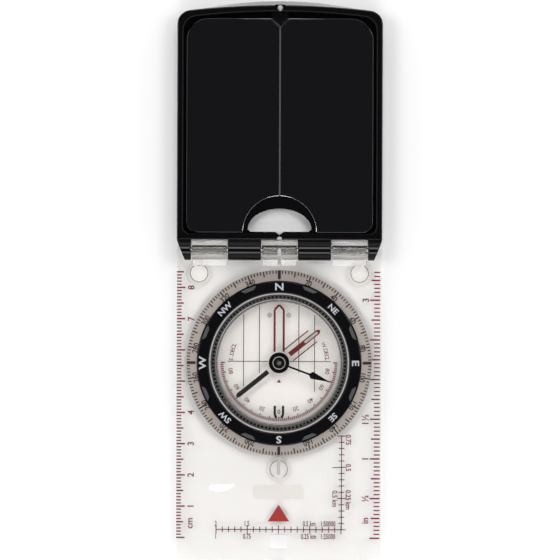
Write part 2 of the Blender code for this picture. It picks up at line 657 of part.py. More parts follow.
def make_lid_shell(material, axis):
    back = -HINGE_HEIGHT
    over = LID_RIM + CUT_OVER
    shell = add_object("lid_shell", loft(lid_outline(LID_REACH), lid_outline(LID_REACH - TIP_SLOPE),
                                         back, LID_RIM), material, axis)
    cut(shell, "hollow", prism(lid_hollow_outline(), LID_FLOOR_Z, over))

    near_wall = LID_NEAR_EDGE + LID_WALL / 2
    surround_radius = ARCH_RADIUS - FIT_GAP
    surround = arc(surround_radius, 0, 180, SMALL_STEPS, (0, MIRROR_NEAR))
    surround += [(-surround_radius, near_wall), (surround_radius, near_wall)]
    surround_top = LID_FLOOR_Z + TAPE_THICK + MIRROR_THICK
    join(shell, "window_surround", prism(surround, LID_FLOOR_Z - CUT_OVER, surround_top))
    bump = TIP_BUMP_WIDTH / 2
    bump_top = LID_RIM - TIP_NOTCH_DEPTH
    far_wall = LID_REACH - TIP_SLOPE - LID_WALL / 2
    bump_plan = [(-bump, far_wall), (-bump, MIRROR_FAR), (0, TIP_BUMP_REACH), (bump, MIRROR_FAR),
                 (bump, far_wall)]
    join(shell, "tip_bump", prism(bump_plan, LID_FLOOR_Z - CUT_OVER, bump_top))

    spans = lid_knuckle_spans()
    bodies = [turned_along_x(knuckle_profile(low, high), SMALL_STEPS) for low, high in spans]
    join(shell, "knuckles", merged(bodies))
    web_low = 2 * RUN_GAP - HINGE_RISE
    web_high = LID_RIM - CUT_OVER
    web = [(0, web_low), (near_wall, web_low), (near_wall, web_high), (0, web_high)]
    join(shell, "webs", merged([across(web, low, high) for low, high in spans]))
    for name, side in (("left", -1), ("right", 1)):
        cut(shell, f"ear_taper_{name}", prism(ear_wedge(side), back - CUT_OVER, over))
    half_pin = LID_WIDTH / 2 - LID_BORE_END
    bore = [(0, -half_pin), (PIN_BORE, -half_pin), (PIN_BORE, half_pin), (0, half_pin)]
    cut(shell, "pin_bore", turned_along_x(bore, SMALL_STEPS))

    cut(shell, "window", prism(window_outline(), back - CUT_OVER, over))
    notch = TIP_NOTCH_WIDTH / 2
    notch_seat = TIP_BEAD_REACH - TIP_BEAD_RADIUS
    notch_far = LID_REACH + CUT_OVER
    notch_plan = [(-TIP_BEAD_RADIUS, notch_seat), (TIP_BEAD_RADIUS, notch_seat), (notch, notch_far),
                  (-notch, notch_far)]
    cut(shell, "tip_notch", prism(notch_plan, bump_top, over))
    for name, reach, radius, top in bead_places():
        seat = prism(circle(radius + FIT_GAP, PIN_STEPS), top - BEAD_DEPTH, over)
        cut(shell, f"{name}_seat", move(seat, 0, reach))


def make_mirror(glass, foam, axis):
    half_gap = FIT_GAP / 2
    tape = prism(mirror_outline(TAPE_INSET), LID_FLOOR_Z + half_gap, LID_FLOOR_Z + TAPE_THICK)
    add_object("mirror_tape", tape, foam, axis)
    mirror_low = LID_FLOOR_Z + TAPE_THICK + half_gap
    add_object("mirror", prism(mirror_outline(), mirror_low, mirror_low + MIRROR_THICK), glass, axis)


def bead_places():
    """Each sight bead's name, distance from the hinge axis, radius and seat height."""
    return (("tip_sight_bead", TIP_BEAD_REACH, TIP_BEAD_RADIUS, LID_RIM - TIP_NOTCH_DEPTH),
            ("window_sight_bead", WINDOW_BEAD_REACH, WINDOW_BEAD_RADIUS, LID_RIM))


def make_sight_beads(material, axis):
    """Domed beads; the one in the lid's near wall is halved so that it ends with the wall."""
    for name, reach, radius, top in bead_places():
        base = top - BEAD_DEPTH + FIT_GAP
        rise = radius / 2
        turns = (0, math.pi / 6, math.pi / 3)
        crown = [(radius * math.cos(turn), top - FIT_GAP + rise * math.sin(turn)) for turn in turns]
        profile = [(0, base), (radius, base)] + crown + [(0, top - FIT_GAP + rise)]
        bead = add_object(name, move(turned(profile, PIN_STEPS), 0, reach), material, axis)
        if reach == WINDOW_BEAD_REACH:
            flat = box_outline(-2 * radius, 2 * radius, reach - 2 * radius, reach - FIT_GAP / 2)
            cut(bead, "flat", prism(flat, base - CUT_OVER, top + radius))


# Dial, from its centre at table height

def screw_place():
    return polar(SCREW_OFFSET, math.radians(90 - SCREW_BEARING))


def make_degree_ring(material, axis):
    low = PLATE_TOP + RUN_GAP
    inner = HUB_RADIUS + FIT_GAP
    profile = [(inner, low), (DIAL_RADIUS, low), (DIAL_RADIUS, low + DIAL_EDGE),
               (GRIP_RADIUS, DIAL_TOP), (inner, DIAL_TOP)]
    add_object("degree_ring", turned(profile), material, axis)


def make_grip_ring(material, axis):
    """Turning ring and its hub: the hub passes through the plate, and its chamber holds the gears."""
    skirt = DIAL_TOP + FIT_GAP
    chamber = HUB_RADIUS - HUB_WALL
    ledge = GEAR_TOP + RUN_GAP
    snap_seat = ledge + SNAP_THICK + FIT_GAP
    snap_wall = SNAP_OUTER + FIT_GAP
    profile = [(HUB_RADIUS, HUB_BASE_Z), (HUB_RADIUS, skirt), (GRIP_RADIUS, skirt),
               (GRIP_RADIUS, GRIP_TOP - GRIP_BEVEL), (GRIP_RADIUS - GRIP_BEVEL, GRIP_TOP),
               (GRIP_INNER, GRIP_TOP), (GRIP_INNER, snap_seat), (snap_wall, snap_seat),
               (snap_wall, ledge), (chamber, ledge), (chamber, HUB_BASE_Z)]
    ring = add_object("grip_ring", turned(profile), material, axis)
    recesses = []
    for index in range(GRIP_NOTCHES):
        x, y = polar(GRIP_RADIUS + GRIP_NOTCH_OUT, math.tau * (index + 0.5) / GRIP_NOTCHES)
        recess = prism(circle(GRIP_NOTCH_RADIUS, SMALL_STEPS), GRIP_TOP - GRIP_NOTCH_DEPTH,
                       GRIP_TOP + CUT_OVER)
        recesses.append(move(recess, x, y))
    cut(ring, "recesses", merged(recesses))
    pocket = prism(circle(PINION_PITCH + GEAR_TIP + RUN_GAP, PIN_STEPS), HUB_BASE_Z - CUT_OVER, ledge)
    cut(ring, "screw_pocket", move(pocket, *screw_place()))


def make_dial_rings(retainer_finish, snap_finish, axis):
    snap_low = GEAR_TOP + RUN_GAP + FIT_GAP / 2
    snap = washer(SNAP_INNER, SNAP_OUTER, snap_low, snap_low + SNAP_THICK - FIT_GAP / 2)
    add_object("capsule_snap_ring", snap, snap_finish, axis)
    ring = washer(RETAINER_INNER, RETAINER_RADIUS, RETAINER_LOW, RETAINER_TOP)
    retainer = add_object("dial_retainer", ring, retainer_finish, axis)
    hole = prism(circle(SCREW_HEAD_RADIUS + RUN_GAP, PIN_STEPS), RETAINER_LOW - CUT_OVER,
                 RETAINER_TOP + CUT_OVER)
    cut(retainer, "screw_hole", move(hole, *screw_place()))


def gear_outline(teeth, root, tip, root_width, tip_width, phase):
    """Outline of a gear with straight-sided teeth; widths are along the root and tip circles."""
    outline = []
    for tooth in range(teeth):
        middle = phase + math.tau * tooth / teeth
        for radius, offset in ((root, -root_width / root), (tip, -tip_width / tip),
                               (tip, tip_width / tip), (root, root_width / root)):
            outline.append(polar(radius, middle + offset / 2))
    return outline


def make_declination_gears(gear_finish, screw_finish, capsule_axis, screw_axis):
    bearing = math.radians(90 - SCREW_BEARING)
    pitch = math.pi * GEAR_MODULE
    low = GEAR_TOP - GEAR_THICK
    teeth = gear_outline(GEAR_TEETH, GEAR_PITCH - GEAR_ROOT, GEAR_PITCH + GEAR_TIP,
                         GEAR_ROOT_SHARE * pitch, GEAR_TIP_SHARE * pitch, bearing + math.pi / GEAR_TEETH)
    gear = add_object("declination_gear", prism(teeth, low, GEAR_TOP), gear_finish, capsule_axis)
    bore = prism(circle(CAPSULE_RADIUS + FIT_GAP, ROUND_STEPS), low - CUT_OVER, GEAR_TOP + CUT_OVER)
    cut(gear, "bore", bore)

    pinion_root = PINION_PITCH - GEAR_ROOT
    teeth = gear_outline(PINION_TEETH, pinion_root, PINION_PITCH + GEAR_TIP,
                         PINION_ROOT_SHARE * pitch, PINION_TIP_SHARE * pitch, bearing + math.pi)
    screw = add_object("declination_screw", prism(teeth, low, GEAR_TOP), screw_finish, screw_axis)
    overlap = FIT_GAP
    head_top = RETAINER_LOW + SCREW_HEAD_THICK
    stem = prism(circle(pinion_root - overlap / 2, PIN_STEPS), head_top - overlap, low + overlap)
    join(screw, "stem", stem)
    join(screw, "head", prism(circle(SCREW_HEAD_RADIUS, PIN_STEPS), RETAINER_LOW, head_top))
    reach = 2 * SCREW_HEAD_RADIUS
    slot = box_outline(-reach, reach, -SCREW_SLOT / 2, SCREW_SLOT / 2)
    cut(screw, "slot", prism(slot, RETAINER_LOW - CUT_OVER, RETAINER_LOW + SCREW_SLOT))


# Capsule, needle and clinometer, from the dial's centre

def make_capsule_base(material, axis):
    socket = PIVOT_RADIUS + PIVOT_FIT
    boss = socket + PIVOT_BOSS_WALL
    boss_top = FLOOR_TOP + PIVOT_BOSS_RISE
    socket_low = CAPSULE_BASE_Z + PIVOT_SOCKET_FLOOR
    profile = [(0, CAPSULE_BASE_Z), (CAPSULE_RADIUS, CAPSULE_BASE_Z), (CAPSULE_RADIUS, CAPSULE_RIM_Z),
               (CAPSULE_INNER, CAPSULE_RIM_Z), (CAPSULE_INNER, FLOOR_TOP), (boss, FLOOR_TOP),
               (boss, boss_top), (socket, boss_top), (socket, socket_low), (0, socket_low)]
    add_object("capsule_base", turned(profile), material, axis)


def make_capsule_cover(material, axis):
    spigot = CAPSULE_INNER - FIT_GAP
    spigot_inner = spigot - COVER_SPIGOT
    spigot_low = COVER_LOW - COVER_SPIGOT
    pin_hole = CLINO_PIN_RADIUS + PIVOT_FIT
    profile = [(0, COVER_TOP - COVER_BEVEL), (pin_hole, COVER_TOP - COVER_BEVEL), (pin_hole, COVER_LOW),
               (spigot_inner, COVER_LOW), (spigot_inner, spigot_low), (spigot, spigot_low),
               (spigot, COVER_LOW), (CAPSULE_RADIUS, COVER_LOW),
               (CAPSULE_RADIUS, COVER_TOP - COVER_BEVEL), (CAPSULE_RADIUS - COVER_BEVEL, COVER_TOP),
               (0, COVER_TOP)]
    add_object("capsule_cover", turned(profile), material, axis)


def make_pivots(material, axis):
    pivot_low = CAPSULE_BASE_Z + PIVOT_SOCKET_FLOOR + PIVOT_FIT
    tip = HUB_CAP_TOP_Z - HUB_CAP_WALL - JEWEL_SEAT - JEWEL_CUP
    pivot = [(0, pivot_low), (PIVOT_RADIUS, pivot_low), (PIVOT_RADIUS, tip - PIVOT_POINT), (0, tip)]
    add_object("needle_pivot", turned(pivot, PIN_STEPS), material, axis)

    low_head = POINTER_Z - RUN_GAP - CLINO_HEAD_THICK
    pin_top = COVER_TOP - COVER_BEVEL - PIVOT_FIT
    high_head = POINTER_HIGH + CLINO_HEAD_THICK
    pin = [(0, low_head), (CLINO_HEAD_RADIUS, low_head), (CLINO_HEAD_RADIUS, POINTER_Z - RUN_GAP),
           (CLINO_PIN_RADIUS, POINTER_Z - RUN_GAP), (CLINO_PIN_RADIUS, POINTER_HIGH),
           (CLINO_HEAD_RADIUS, POINTER_HIGH), (CLINO_HEAD_RADIUS, high_head),
           (CLINO_PIN_RADIUS, high_head), (CLINO_PIN_RADIUS, pin_top), (0, pin_top)]
    add_object("clinometer_pivot", turned(pin, PIN_STEPS), material, axis)


def make_needle_blade(material, axis):
    half = NEEDLE_WIDTH / 2
    tip = NEEDLE_TIP_WIDTH / 2
    neck = NEEDLE_NORTH - NEEDLE_POINT
    tail = -NEEDLE_TAIL_START
    outline = [(-tip, tail), (-tip, tip - NEEDLE_SOUTH), (0, -NEEDLE_SOUTH), (tip, tip - NEEDLE_SOUTH),
               (tip, tail), (half, tail), (half, neck), (tip, neck), (0, NEEDLE_NORTH), (-tip, neck),
               (-half, neck), (-half, tail)]
    top = NEEDLE_Z + NEEDLE_THICK
    blade = add_object("needle_blade", prism(outline, NEEDLE_Z, top), material, axis)
    join(blade, "eye", prism(circle(NEEDLE_EYE_RADIUS, SMALL_STEPS), NEEDLE_Z, top))
    hole = prism(circle(NEEDLE_EYE_HOLE, SMALL_STEPS), NEEDLE_Z - CUT_OVER, top + CUT_OVER)
    cut(blade, "hub_hole", hole)


def make_needle_hub(hub_finish, magnet_finish, jewel_finish, axis):
    """Cap with a groove that holds the blade, the ring magnet inside it and the jewel on the pivot."""
    radius = HUB_CAP_RADIUS
    waist = NEEDLE_EYE_HOLE - FIT_GAP
    inside = waist - HUB_CAP_WALL
    magnet_room = radius - HUB_CAP_WALL
    magnet_roof = HUB_CAP_BASE_Z + MAGNET_THICK + JEWEL_SEAT
    blade_low = NEEDLE_Z - FIT_GAP
    blade_high = NEEDLE_Z + NEEDLE_THICK + FIT_GAP
    roof = HUB_CAP_TOP_Z - HUB_CAP_WALL
    bevel = HUB_CAP_WALL / 2
    cap = [(0, roof), (inside, roof), (inside, magnet_roof), (magnet_room, magnet_roof),
           (magnet_room, HUB_CAP_BASE_Z), (radius, HUB_CAP_BASE_Z), (radius, blade_low),
           (waist, blade_low), (waist, blade_high), (radius, blade_high),
           (radius, HUB_CAP_TOP_Z - bevel), (radius - bevel, HUB_CAP_TOP_Z), (0, HUB_CAP_TOP_Z)]
    add_object("needle_hub", turned(cap, HUB_STEPS), hub_finish, axis)

    jewel_top = roof - JEWEL_SEAT
    jewel_low = jewel_top - JEWEL_THICK
    jewel = [(0, jewel_top - JEWEL_CUP / 2), (PIVOT_RADIUS + JEWEL_SEAT, jewel_low),
             (JEWEL_RADIUS, jewel_low), (JEWEL_RADIUS, jewel_top), (0, jewel_top)]
    add_object("needle_jewel", turned(jewel, PIN_STEPS), jewel_finish, axis)
    magnet = washer(JEWEL_RADIUS + FIT_GAP, magnet_room - JEWEL_SEAT, HUB_CAP_BASE_Z,
                    HUB_CAP_BASE_Z + MAGNET_THICK, SMALL_STEPS)
    add_object("needle_magnet", magnet, magnet_finish, axis)


def make_clinometer(material, axis):
    shaft = POINTER_SHAFT_WIDTH / 2
    head = POINTER_HEAD_WIDTH / 2
    point = POINTER_POINT_WIDTH / 2
    open_angle = math.degrees(math.asin(shaft / POINTER_HUB_RADIUS))
    notch = POINTER_LENGTH - POINTER_HEAD_START
    widest = POINTER_LENGTH - POINTER_HEAD_WIDEST
    head_end = POINTER_LENGTH - POINTER_HEAD_END
    outline = arc(POINTER_HUB_RADIUS, 90 + open_angle, 450 - open_angle, SMALL_STEPS)
    outline += [(shaft, notch), (head, widest), (point, head_end), (point / 2, POINTER_LENGTH),
                (-point / 2, POINTER_LENGTH), (-point, head_end), (-head, widest), (-shaft, notch)]
    pointer = add_object("clinometer_pointer", prism(outline, POINTER_Z, POINTER_Z + POINTER_THICK),
                         material, axis)
    hole = prism(circle(CLINO_PIN_RADIUS + RUN_GAP, PIN_STEPS), POINTER_Z - CUT_OVER,
                 POINTER_Z + POINTER_THICK + CUT_OVER)
    cut(pointer, "pivot_hole", hole)


def main():
    for leftover in list(bpy.data.objects):
        bpy.data.objects.remove(leftover, do_unlink=True)

    clear = finish("clear_acrylic", (0.92, 0.93, 0.92), 0.05, clear=1.0)
    black = finish("gloss_black", (0.012, 0.012, 0.014), 0.18)
    rubber = finish("clear_silicone", (0.80, 0.80, 0.79), 0.45, clear=0.8)
    lume = finish("lume", (0.42, 0.40, 0.37), 0.6)
    steel = finish("steel", (0.62, 0.62, 0.60), 0.22, 1.0)
    brass = finish("brass", (0.72, 0.55, 0.25), 0.3, 1.0)
    grey = finish("grey_plastic", (0.40, 0.37, 0.35), 0.4)
    pale = finish("pale_plastic", (0.62, 0.62, 0.62), 0.35)
    glass = finish("mirror_glass", (0.85, 0.86, 0.87), 0.02, 1.0)
    foam = finish("foam_tape", (0.65, 0.65, 0.62), 0.9)
    magnet = finish("magnet", (0.25, 0.25, 0.27), 0.35, 1.0)
    jewel = finish("sapphire", (0.75, 0.20, 0.28), 0.05, clear=0.8)

    make_baseplate(clear)
    make_feet(rubber)
    make_index_strips(lume)
    make_hinge_pin(steel)

    lid_axis = add_axis("lid_axis", (0, HINGE_Y, HINGE_HEIGHT))
    make_lid_shell(black, lid_axis)
    make_mirror(glass, foam, lid_axis)
    make_sight_beads(lume, lid_axis)

    dial_axis = add_axis("dial_axis", (0, DIAL_Y, 0))
    make_degree_ring(grey, dial_axis)
    make_grip_ring(black, dial_axis)
    make_dial_rings(black, pale, dial_axis)
    capsule_axis = add_axis("capsule_axis", (0, 0, 0), dial_axis)
    make_capsule_base(clear, capsule_axis)
    make_capsule_cover(clear, capsule_axis)
    make_pivots(steel, capsule_axis)
    screw_axis = add_axis("screw_axis", (*screw_place(), 0), dial_axis)
    make_declination_gears(grey, brass, capsule_axis, screw_axis)
    needle_axis = add_axis("needle_axis", (0, 0, 0), capsule_axis, -math.radians(NEEDLE_BEARING))
    make_needle_blade(clear, needle_axis)
    make_needle_hub(black, magnet, jewel, needle_axis)
    pointer_axis = add_axis("pointer_axis", (0, 0, 0), capsule_axis, -math.radians(POINTER_BEARING))
    make_clinometer(black, pointer_axis)


if __name__ == "__main__":
    main()
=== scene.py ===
import json
import math

import bmesh
import bpy
from bpy.props import FloatProperty, FloatVectorProperty, IntProperty, PointerProperty
from mathutils import Matrix, Vector


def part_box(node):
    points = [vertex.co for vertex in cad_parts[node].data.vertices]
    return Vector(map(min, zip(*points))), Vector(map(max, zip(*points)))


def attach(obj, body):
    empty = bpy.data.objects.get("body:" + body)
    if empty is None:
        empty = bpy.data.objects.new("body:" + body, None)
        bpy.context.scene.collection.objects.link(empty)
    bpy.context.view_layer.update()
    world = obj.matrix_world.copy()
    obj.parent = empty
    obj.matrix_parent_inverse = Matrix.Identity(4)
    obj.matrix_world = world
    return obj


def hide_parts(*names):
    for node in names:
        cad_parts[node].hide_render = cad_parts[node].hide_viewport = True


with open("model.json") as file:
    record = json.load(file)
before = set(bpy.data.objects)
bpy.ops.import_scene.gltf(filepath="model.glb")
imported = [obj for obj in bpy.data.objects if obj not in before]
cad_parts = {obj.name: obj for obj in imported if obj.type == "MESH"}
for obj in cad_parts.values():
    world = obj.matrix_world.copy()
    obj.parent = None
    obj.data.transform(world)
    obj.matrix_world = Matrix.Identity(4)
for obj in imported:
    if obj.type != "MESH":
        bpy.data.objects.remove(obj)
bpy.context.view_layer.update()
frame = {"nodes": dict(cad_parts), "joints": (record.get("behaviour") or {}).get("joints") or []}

bl_info = {
    "name": "Mirror Compass",
    "version": (1, 0, 0),
    "blender": (4, 5, 0),
    "location": "3D View > Sidebar > Compass",
    "description": "Builds the finished surfaces of a baseplate compass with a folding mirror lid",
    "category": "Object",
}

MM = 0.001

# Places that the frame gives
JOINTS = {joint["name"]: joint for joint in frame["joints"]}
HINGE = Vector(JOINTS["lid_hinge"]["pos_m"])
DIAL = Vector((*JOINTS["dial_turn"]["pos_m"][:2], 0))
PLATE_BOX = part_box("baseplate")
LID_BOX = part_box("lid_shell")
MIRROR_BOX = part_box("mirror")
DEGREE_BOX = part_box("degree_ring")
GRIP_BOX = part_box("grip_ring")
RETAINER_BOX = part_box("dial_retainer")
SNAP_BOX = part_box("capsule_snap_ring")
CUP_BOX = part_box("capsule_base")
COVER_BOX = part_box("capsule_cover")
BLADE_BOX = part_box("needle_blade")
HUB_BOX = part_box("needle_hub")
POINTER_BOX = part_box("clinometer_pointer")
PIN_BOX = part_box("hinge_pin")

INK = 0.02 * MM               # thickness of a print
LIFT = 0.015 * MM             # air under a print
ROUND = 128                   # sides of the dial's rings
FINE = 48                     # sides of small round pieces
OVER = 0.5 * MM               # how far a cutting shape passes the face that it opens


def srgb(*levels):
    """Linear colour from display levels of 0 to 255."""
    shares = [level / 255 for level in levels]
    return tuple(share / 12.92 if share <= 0.04045 else ((share + 0.055) / 1.055) ** 2.4 for share in shares)


def length(name, text, value):
    return FloatProperty(name=name, description=text, default=value, min=0, unit="LENGTH", precision=5)


def tint(name, text, levels):
    return FloatVectorProperty(name=name, description=text, default=srgb(*levels), size=3, min=0, max=1,
                               subtype="COLOR")


def bearing(name, text, degrees):
    return FloatProperty(name=name, description=text, default=math.radians(degrees), unit="ROTATION")


# Shape tools

def polar(radius, angle, centre=(0, 0)):
    """Point at an angle in radians, counted from +X."""
    return (centre[0] + radius * math.cos(angle), centre[1] + radius * math.sin(angle))


def arc(radius, start, end, steps, centre=(0, 0)):
    """Points along an arc, with both ends; angles in degrees from +X."""
    return [polar(radius, math.radians(start + (end - start) * step / steps), centre)
            for step in range(steps + 1)]


def circle(radius, steps=FINE, centre=(0, 0)):
    return arc(radius, 0, 360, steps, centre)[:-1]


def rounded(corners, steps=6):
    """Outline through corners (x, y, radius), each turned into an arc of its radius."""
    outline = []
    for index, (x, y, radius) in enumerate(corners):
        corner = Vector((x, y))
        back = (Vector(corners[index - 1][:2]) - corner).normalized()
        ahead = (Vector(corners[(index + 1) % len(corners)][:2]) - corner).normalized()
        half = back.angle(ahead) / 2
        if radius == 0 or half > math.radians(89.9):
            outline.append((x, y))
            continue
        centre = corner + (back + ahead).normalized() * radius / math.sin(half)
        first = corner + back * radius / math.tan(half) - centre
        last = corner + ahead * radius / math.tan(half) - centre
        start = math.atan2(first.y, first.x)
        sweep = math.remainder(math.atan2(last.y, last.x) - start, math.tau)
        outline += [polar(radius, start + sweep * step / steps, centre) for step in range(steps + 1)]
    return outline


def box_outline(x_low, x_high, y_low, y_high, radius=0.0):
    corners = ((x_low, y_low), (x_high, y_low), (x_high, y_high), (x_low, y_high))
    return rounded([(x, y, radius) for x, y in corners])


def shrunk(outline, distance):
    """Outline moved inwards by a distance; its points run anticlockwise."""
    moved = []
    for index, point in enumerate(outline):
        here = Vector(point)
        back = (here - Vector(outline[index - 1])).normalized()
        ahead = (Vector(outline[(index + 1) % len(outline)]) - here).normalized()
        side = Vector((-back.y, back.x)) + Vector((-ahead.y, ahead.x))
        side.normalize()
        stretch = max(side.dot(Vector((-back.y, back.x))), 0.4)
        moved.append(tuple(here + side * distance / stretch))
    return moved


def stacked(layers):
    """Closed solid through outlines (outline, height) that all have the same number of points."""
    mesh = bmesh.new()
    rings = [[mesh.verts.new((x, y, height)) for x, y in outline] for outline, height in layers]
    mesh.faces.new(rings[0])
    mesh.faces.new(rings[-1])
    for low, high in zip(rings, rings[1:]):
        for index in range(len(low)):
            mesh.faces.new((low[index - 1], low[index], high[index], high[index - 1]))
    bmesh.ops.recalc_face_normals(mesh, faces=mesh.faces)
    return mesh


def slab(outline, low, high, edge=0.0, steps=3):
    """Prism whose upper and lower edges are rounded by edge."""
    if edge == 0:
        return stacked([(outline, low), (outline, high)])
    turns = [math.pi / 2 * step / steps for step in range(steps + 1)]
    lower = [(shrunk(outline, edge * (1 - math.sin(turn))), low + edge * (1 - math.cos(turn)))
             for turn in turns]
    upper = [(shrunk(outline, edge * (1 - math.cos(turn))), high - edge * (1 - math.sin(turn)))
             for turn in turns]
    return stacked(lower + upper)


def across(outline, x_low, x_high, edge=0.0):
    """Slab of an outline in (y, z), run along X."""
    mesh = slab(outline, x_low, x_high, edge)
    cycle = Matrix(((0, 0, 1, 0), (1, 0, 0, 0), (0, 1, 0, 0), (0, 0, 0, 1)))
    bmesh.ops.transform(mesh, matrix=cycle, verts=mesh.verts)
    return mesh


def turned(profile, steps=ROUND):
    """Solid turned about Z from (radius, height) points; a profile may start and end on the axis."""
    mesh = bmesh.new()
    verts = [mesh.verts.new((radius, 0, height)) for radius, height in profile]
    on_axis = profile[0][0] == 0
    edges = [mesh.edges.new((verts[index - 1], verts[index])) for index in range(int(on_axis), len(verts))]
    bmesh.ops.spin(mesh, geom=verts + edges, cent=(0, 0, 0), axis=(0, 0, 1), angle=math.tau,
                   steps=steps, use_merge=True)
    bmesh.ops.remove_doubles(mesh, verts=mesh.verts, dist=1e-7)
    bmesh.ops.recalc_face_normals(mesh, faces=mesh.faces)
    return mesh


def ring_of(inner, outer, low, high, edge, steps=ROUND):
    """Ring with rounded edges."""
    return turned(rounded([(inner, low, edge), (outer, low, edge), (outer, high, edge),
                           (inner, high, edge)], 3),
                  steps)


def along_x(mesh):
    bmesh.ops.rotate(mesh, cent=(0, 0, 0), matrix=Matrix.Rotation(math.radians(90), 3, "Y"), verts=mesh.verts)
    return mesh


def move(mesh, place, turn=0.0):
    bmesh.ops.transform(mesh, matrix=Matrix.Translation(place) @ Matrix.Rotation(turn, 4, "Z"),
                        verts=mesh.verts)
    return mesh


def merged(meshes):
    """One mesh that holds several bodies."""
    whole = bmesh.new()
    for mesh in meshes:
        scratch = bpy.data.meshes.new("scratch")
        mesh.to_mesh(scratch)
        mesh.free()
        whole.from_mesh(scratch)
        bpy.data.meshes.remove(scratch)
    return whole


def new_object(name, mesh):
    data = bpy.data.meshes.new(name)
    mesh.to_mesh(data)
    mesh.free()
    piece = bpy.data.objects.new(name, data)
    bpy.context.scene.collection.objects.link(piece)
    return piece


def combine(piece, mesh, operation):
    """Boolean of a piece with a shape, applied at once."""
    tool = new_object("tool", mesh)
    modifier = piece.modifiers.new("combine", "BOOLEAN")
    modifier.operation = operation
    modifier.solver = "EXACT"
    modifier.object = tool
    bpy.context.view_layer.update()
    result = bpy.data.meshes.new_from_object(piece.evaluated_get(bpy.context.evaluated_depsgraph_get()))
    piece.modifiers.clear()
    spent = piece.data
    piece.data = result
    bpy.data.meshes.remove(spent)
    bpy.data.meshes.remove(tool.data)


def cut(piece, mesh):
    combine(piece, mesh, "DIFFERENCE")


def join(piece, mesh):
    combine(piece, mesh, "UNION")


def settle(piece, finish, body, nodes=(), sharp=35.0):
    """Shade a piece, give it its finish and fix it to a body of the frame."""
    piece.data.shade_smooth()
    piece.data.set_sharp_from_angle(angle=math.radians(sharp))
    piece.data.materials.clear()
    piece.data.materials.append(finish)
    weighted = piece.modifiers.new("flat_faces_first", "WEIGHTED_NORMAL")
    weighted.keep_sharp = True
    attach(piece, body)
    if nodes:
        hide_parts(*nodes)
    return piece


# Prints

CAP_HEIGHT = 0.70             # height of a capital, as a share of the letters' size
TEXT_WEIGHT = 0.022           # how much the letters are thickened, as a share of their size
FINE_WEIGHT = 0.010


class Print:
    """Ink on a surface: thin closed shapes laid out in plan and gathered in one mesh."""

    def __init__(self):
        self.mesh = bmesh.new()

    def take(self, mesh):
        scratch = bpy.data.meshes.new("scratch")
        mesh.to_mesh(scratch)
        mesh.free()
        self.mesh.from_mesh(scratch)
        bpy.data.meshes.remove(scratch)

    def shape(self, outline):
        self.take(slab(outline, 0, INK))

    def bar(self, start, end, width):
        start, end = Vector(start), Vector(end)
        side = (end - start).orthogonal().normalized() * width / 2
        self.shape([tuple(start - side), tuple(end - side), tuple(end + side), tuple(start + side)][::-1])

    def path(self, points, width):
        for start, end in zip(points, points[1:]):
            self.bar(start, end, width)

    def tick(self, turn, inner, outer, width, centre):
        """Radial bar; turn is in degrees clockwise from +Y."""
        angle = math.radians(90 - turn)
        self.bar(polar(inner, angle, centre), polar(outer, angle, centre), width)

    def text(self, words, height, centre, turn=0.0, stretch=1.0, weight=TEXT_WEIGHT):
        """Words centred on a point and turned anticlockwise by turn, in degrees."""
        curve = bpy.data.curves.new("words", "FONT")
        curve.body = words
        curve.extrude = 1
        curve.offset = weight
        curve.resolution_u = 3
        holder = bpy.data.objects.new("words", curve)
        bpy.context.scene.collection.objects.link(holder)
        bpy.context.view_layer.update()
        letters = bpy.data.meshes.new_from_object(holder.evaluated_get(bpy.context.evaluated_depsgraph_get()))
        bpy.data.objects.remove(holder)
        bpy.data.curves.remove(curve)
        across_x = [vert.co.x for vert in letters.vertices]
        up = [vert.co.y for vert in letters.vertices]
        scale = height / CAP_HEIGHT
        middle = Matrix.Translation((-(min(across_x) + max(across_x)) / 2, -(min(up) + max(up)) / 2, 1))
        sized = Matrix.Diagonal((scale * stretch, scale, INK / 2, 1))
        turned_by = Matrix.Rotation(math.radians(turn), 4, "Z")
        letters.transform(Matrix.Translation((*centre, 0)) @ turned_by @ sized @ middle)
        self.mesh.from_mesh(letters)
        bpy.data.meshes.remove(letters)

    def round_text(self, words, height, turn, radius, centre, stretch=1.0, weight=TEXT_WEIGHT):
        """Words whose tops point outwards, at turn degrees clockwise from +Y."""
        self.text(words, height, polar(radius, math.radians(90 - turn), centre), -turn, stretch, weight)

    def lay(self, name, surface, finish, body, slot=None):
        """Put the print on a surface, given as a height or as a function of the plan."""
        level = surface if callable(surface) else lambda x, y: surface
        for vert in self.mesh.verts:
            vert.co.z = level(vert.co.x, vert.co.y) + LIFT + (INK if vert.co.z > INK / 2 else 0)
        piece = new_object(name, self.mesh)
        piece.data.materials.append(finish)
        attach(piece, body)
        return piece


# Finishes

def feed(tree, socket, value):
    """Set a socket, or link it if the value is a wire."""
    if isinstance(value, Wire):
        tree.links.new(value.socket, socket)
    elif value is not None:
        socket.default_value = value


class Wire:
    """A shader socket that works in sums: each operator adds its Math node."""

    def __init__(self, tree, socket):
        self.tree = tree
        self.socket = socket

    def math(self, operation, left, right):
        node = self.tree.nodes.new("ShaderNodeMath")
        node.operation = operation
        feed(self.tree, node.inputs[0], left)
        feed(self.tree, node.inputs[1], right)
        return Wire(self.tree, node.outputs[0])

    def __add__(self, other):
        return self.math("ADD", self, other)

    def __sub__(self, other):
        return self.math("SUBTRACT", self, other)

    def __rsub__(self, other):
        return self.math("SUBTRACT", other, self)

    def __mul__(self, other):
        return self.math("MULTIPLY", self, other)

    def __pow__(self, other):
        return self.math("POWER", self, other)

    def above(self, level):
        return self.math("GREATER_THAN", self, level)

    __radd__ = __add__
    __rmul__ = __mul__


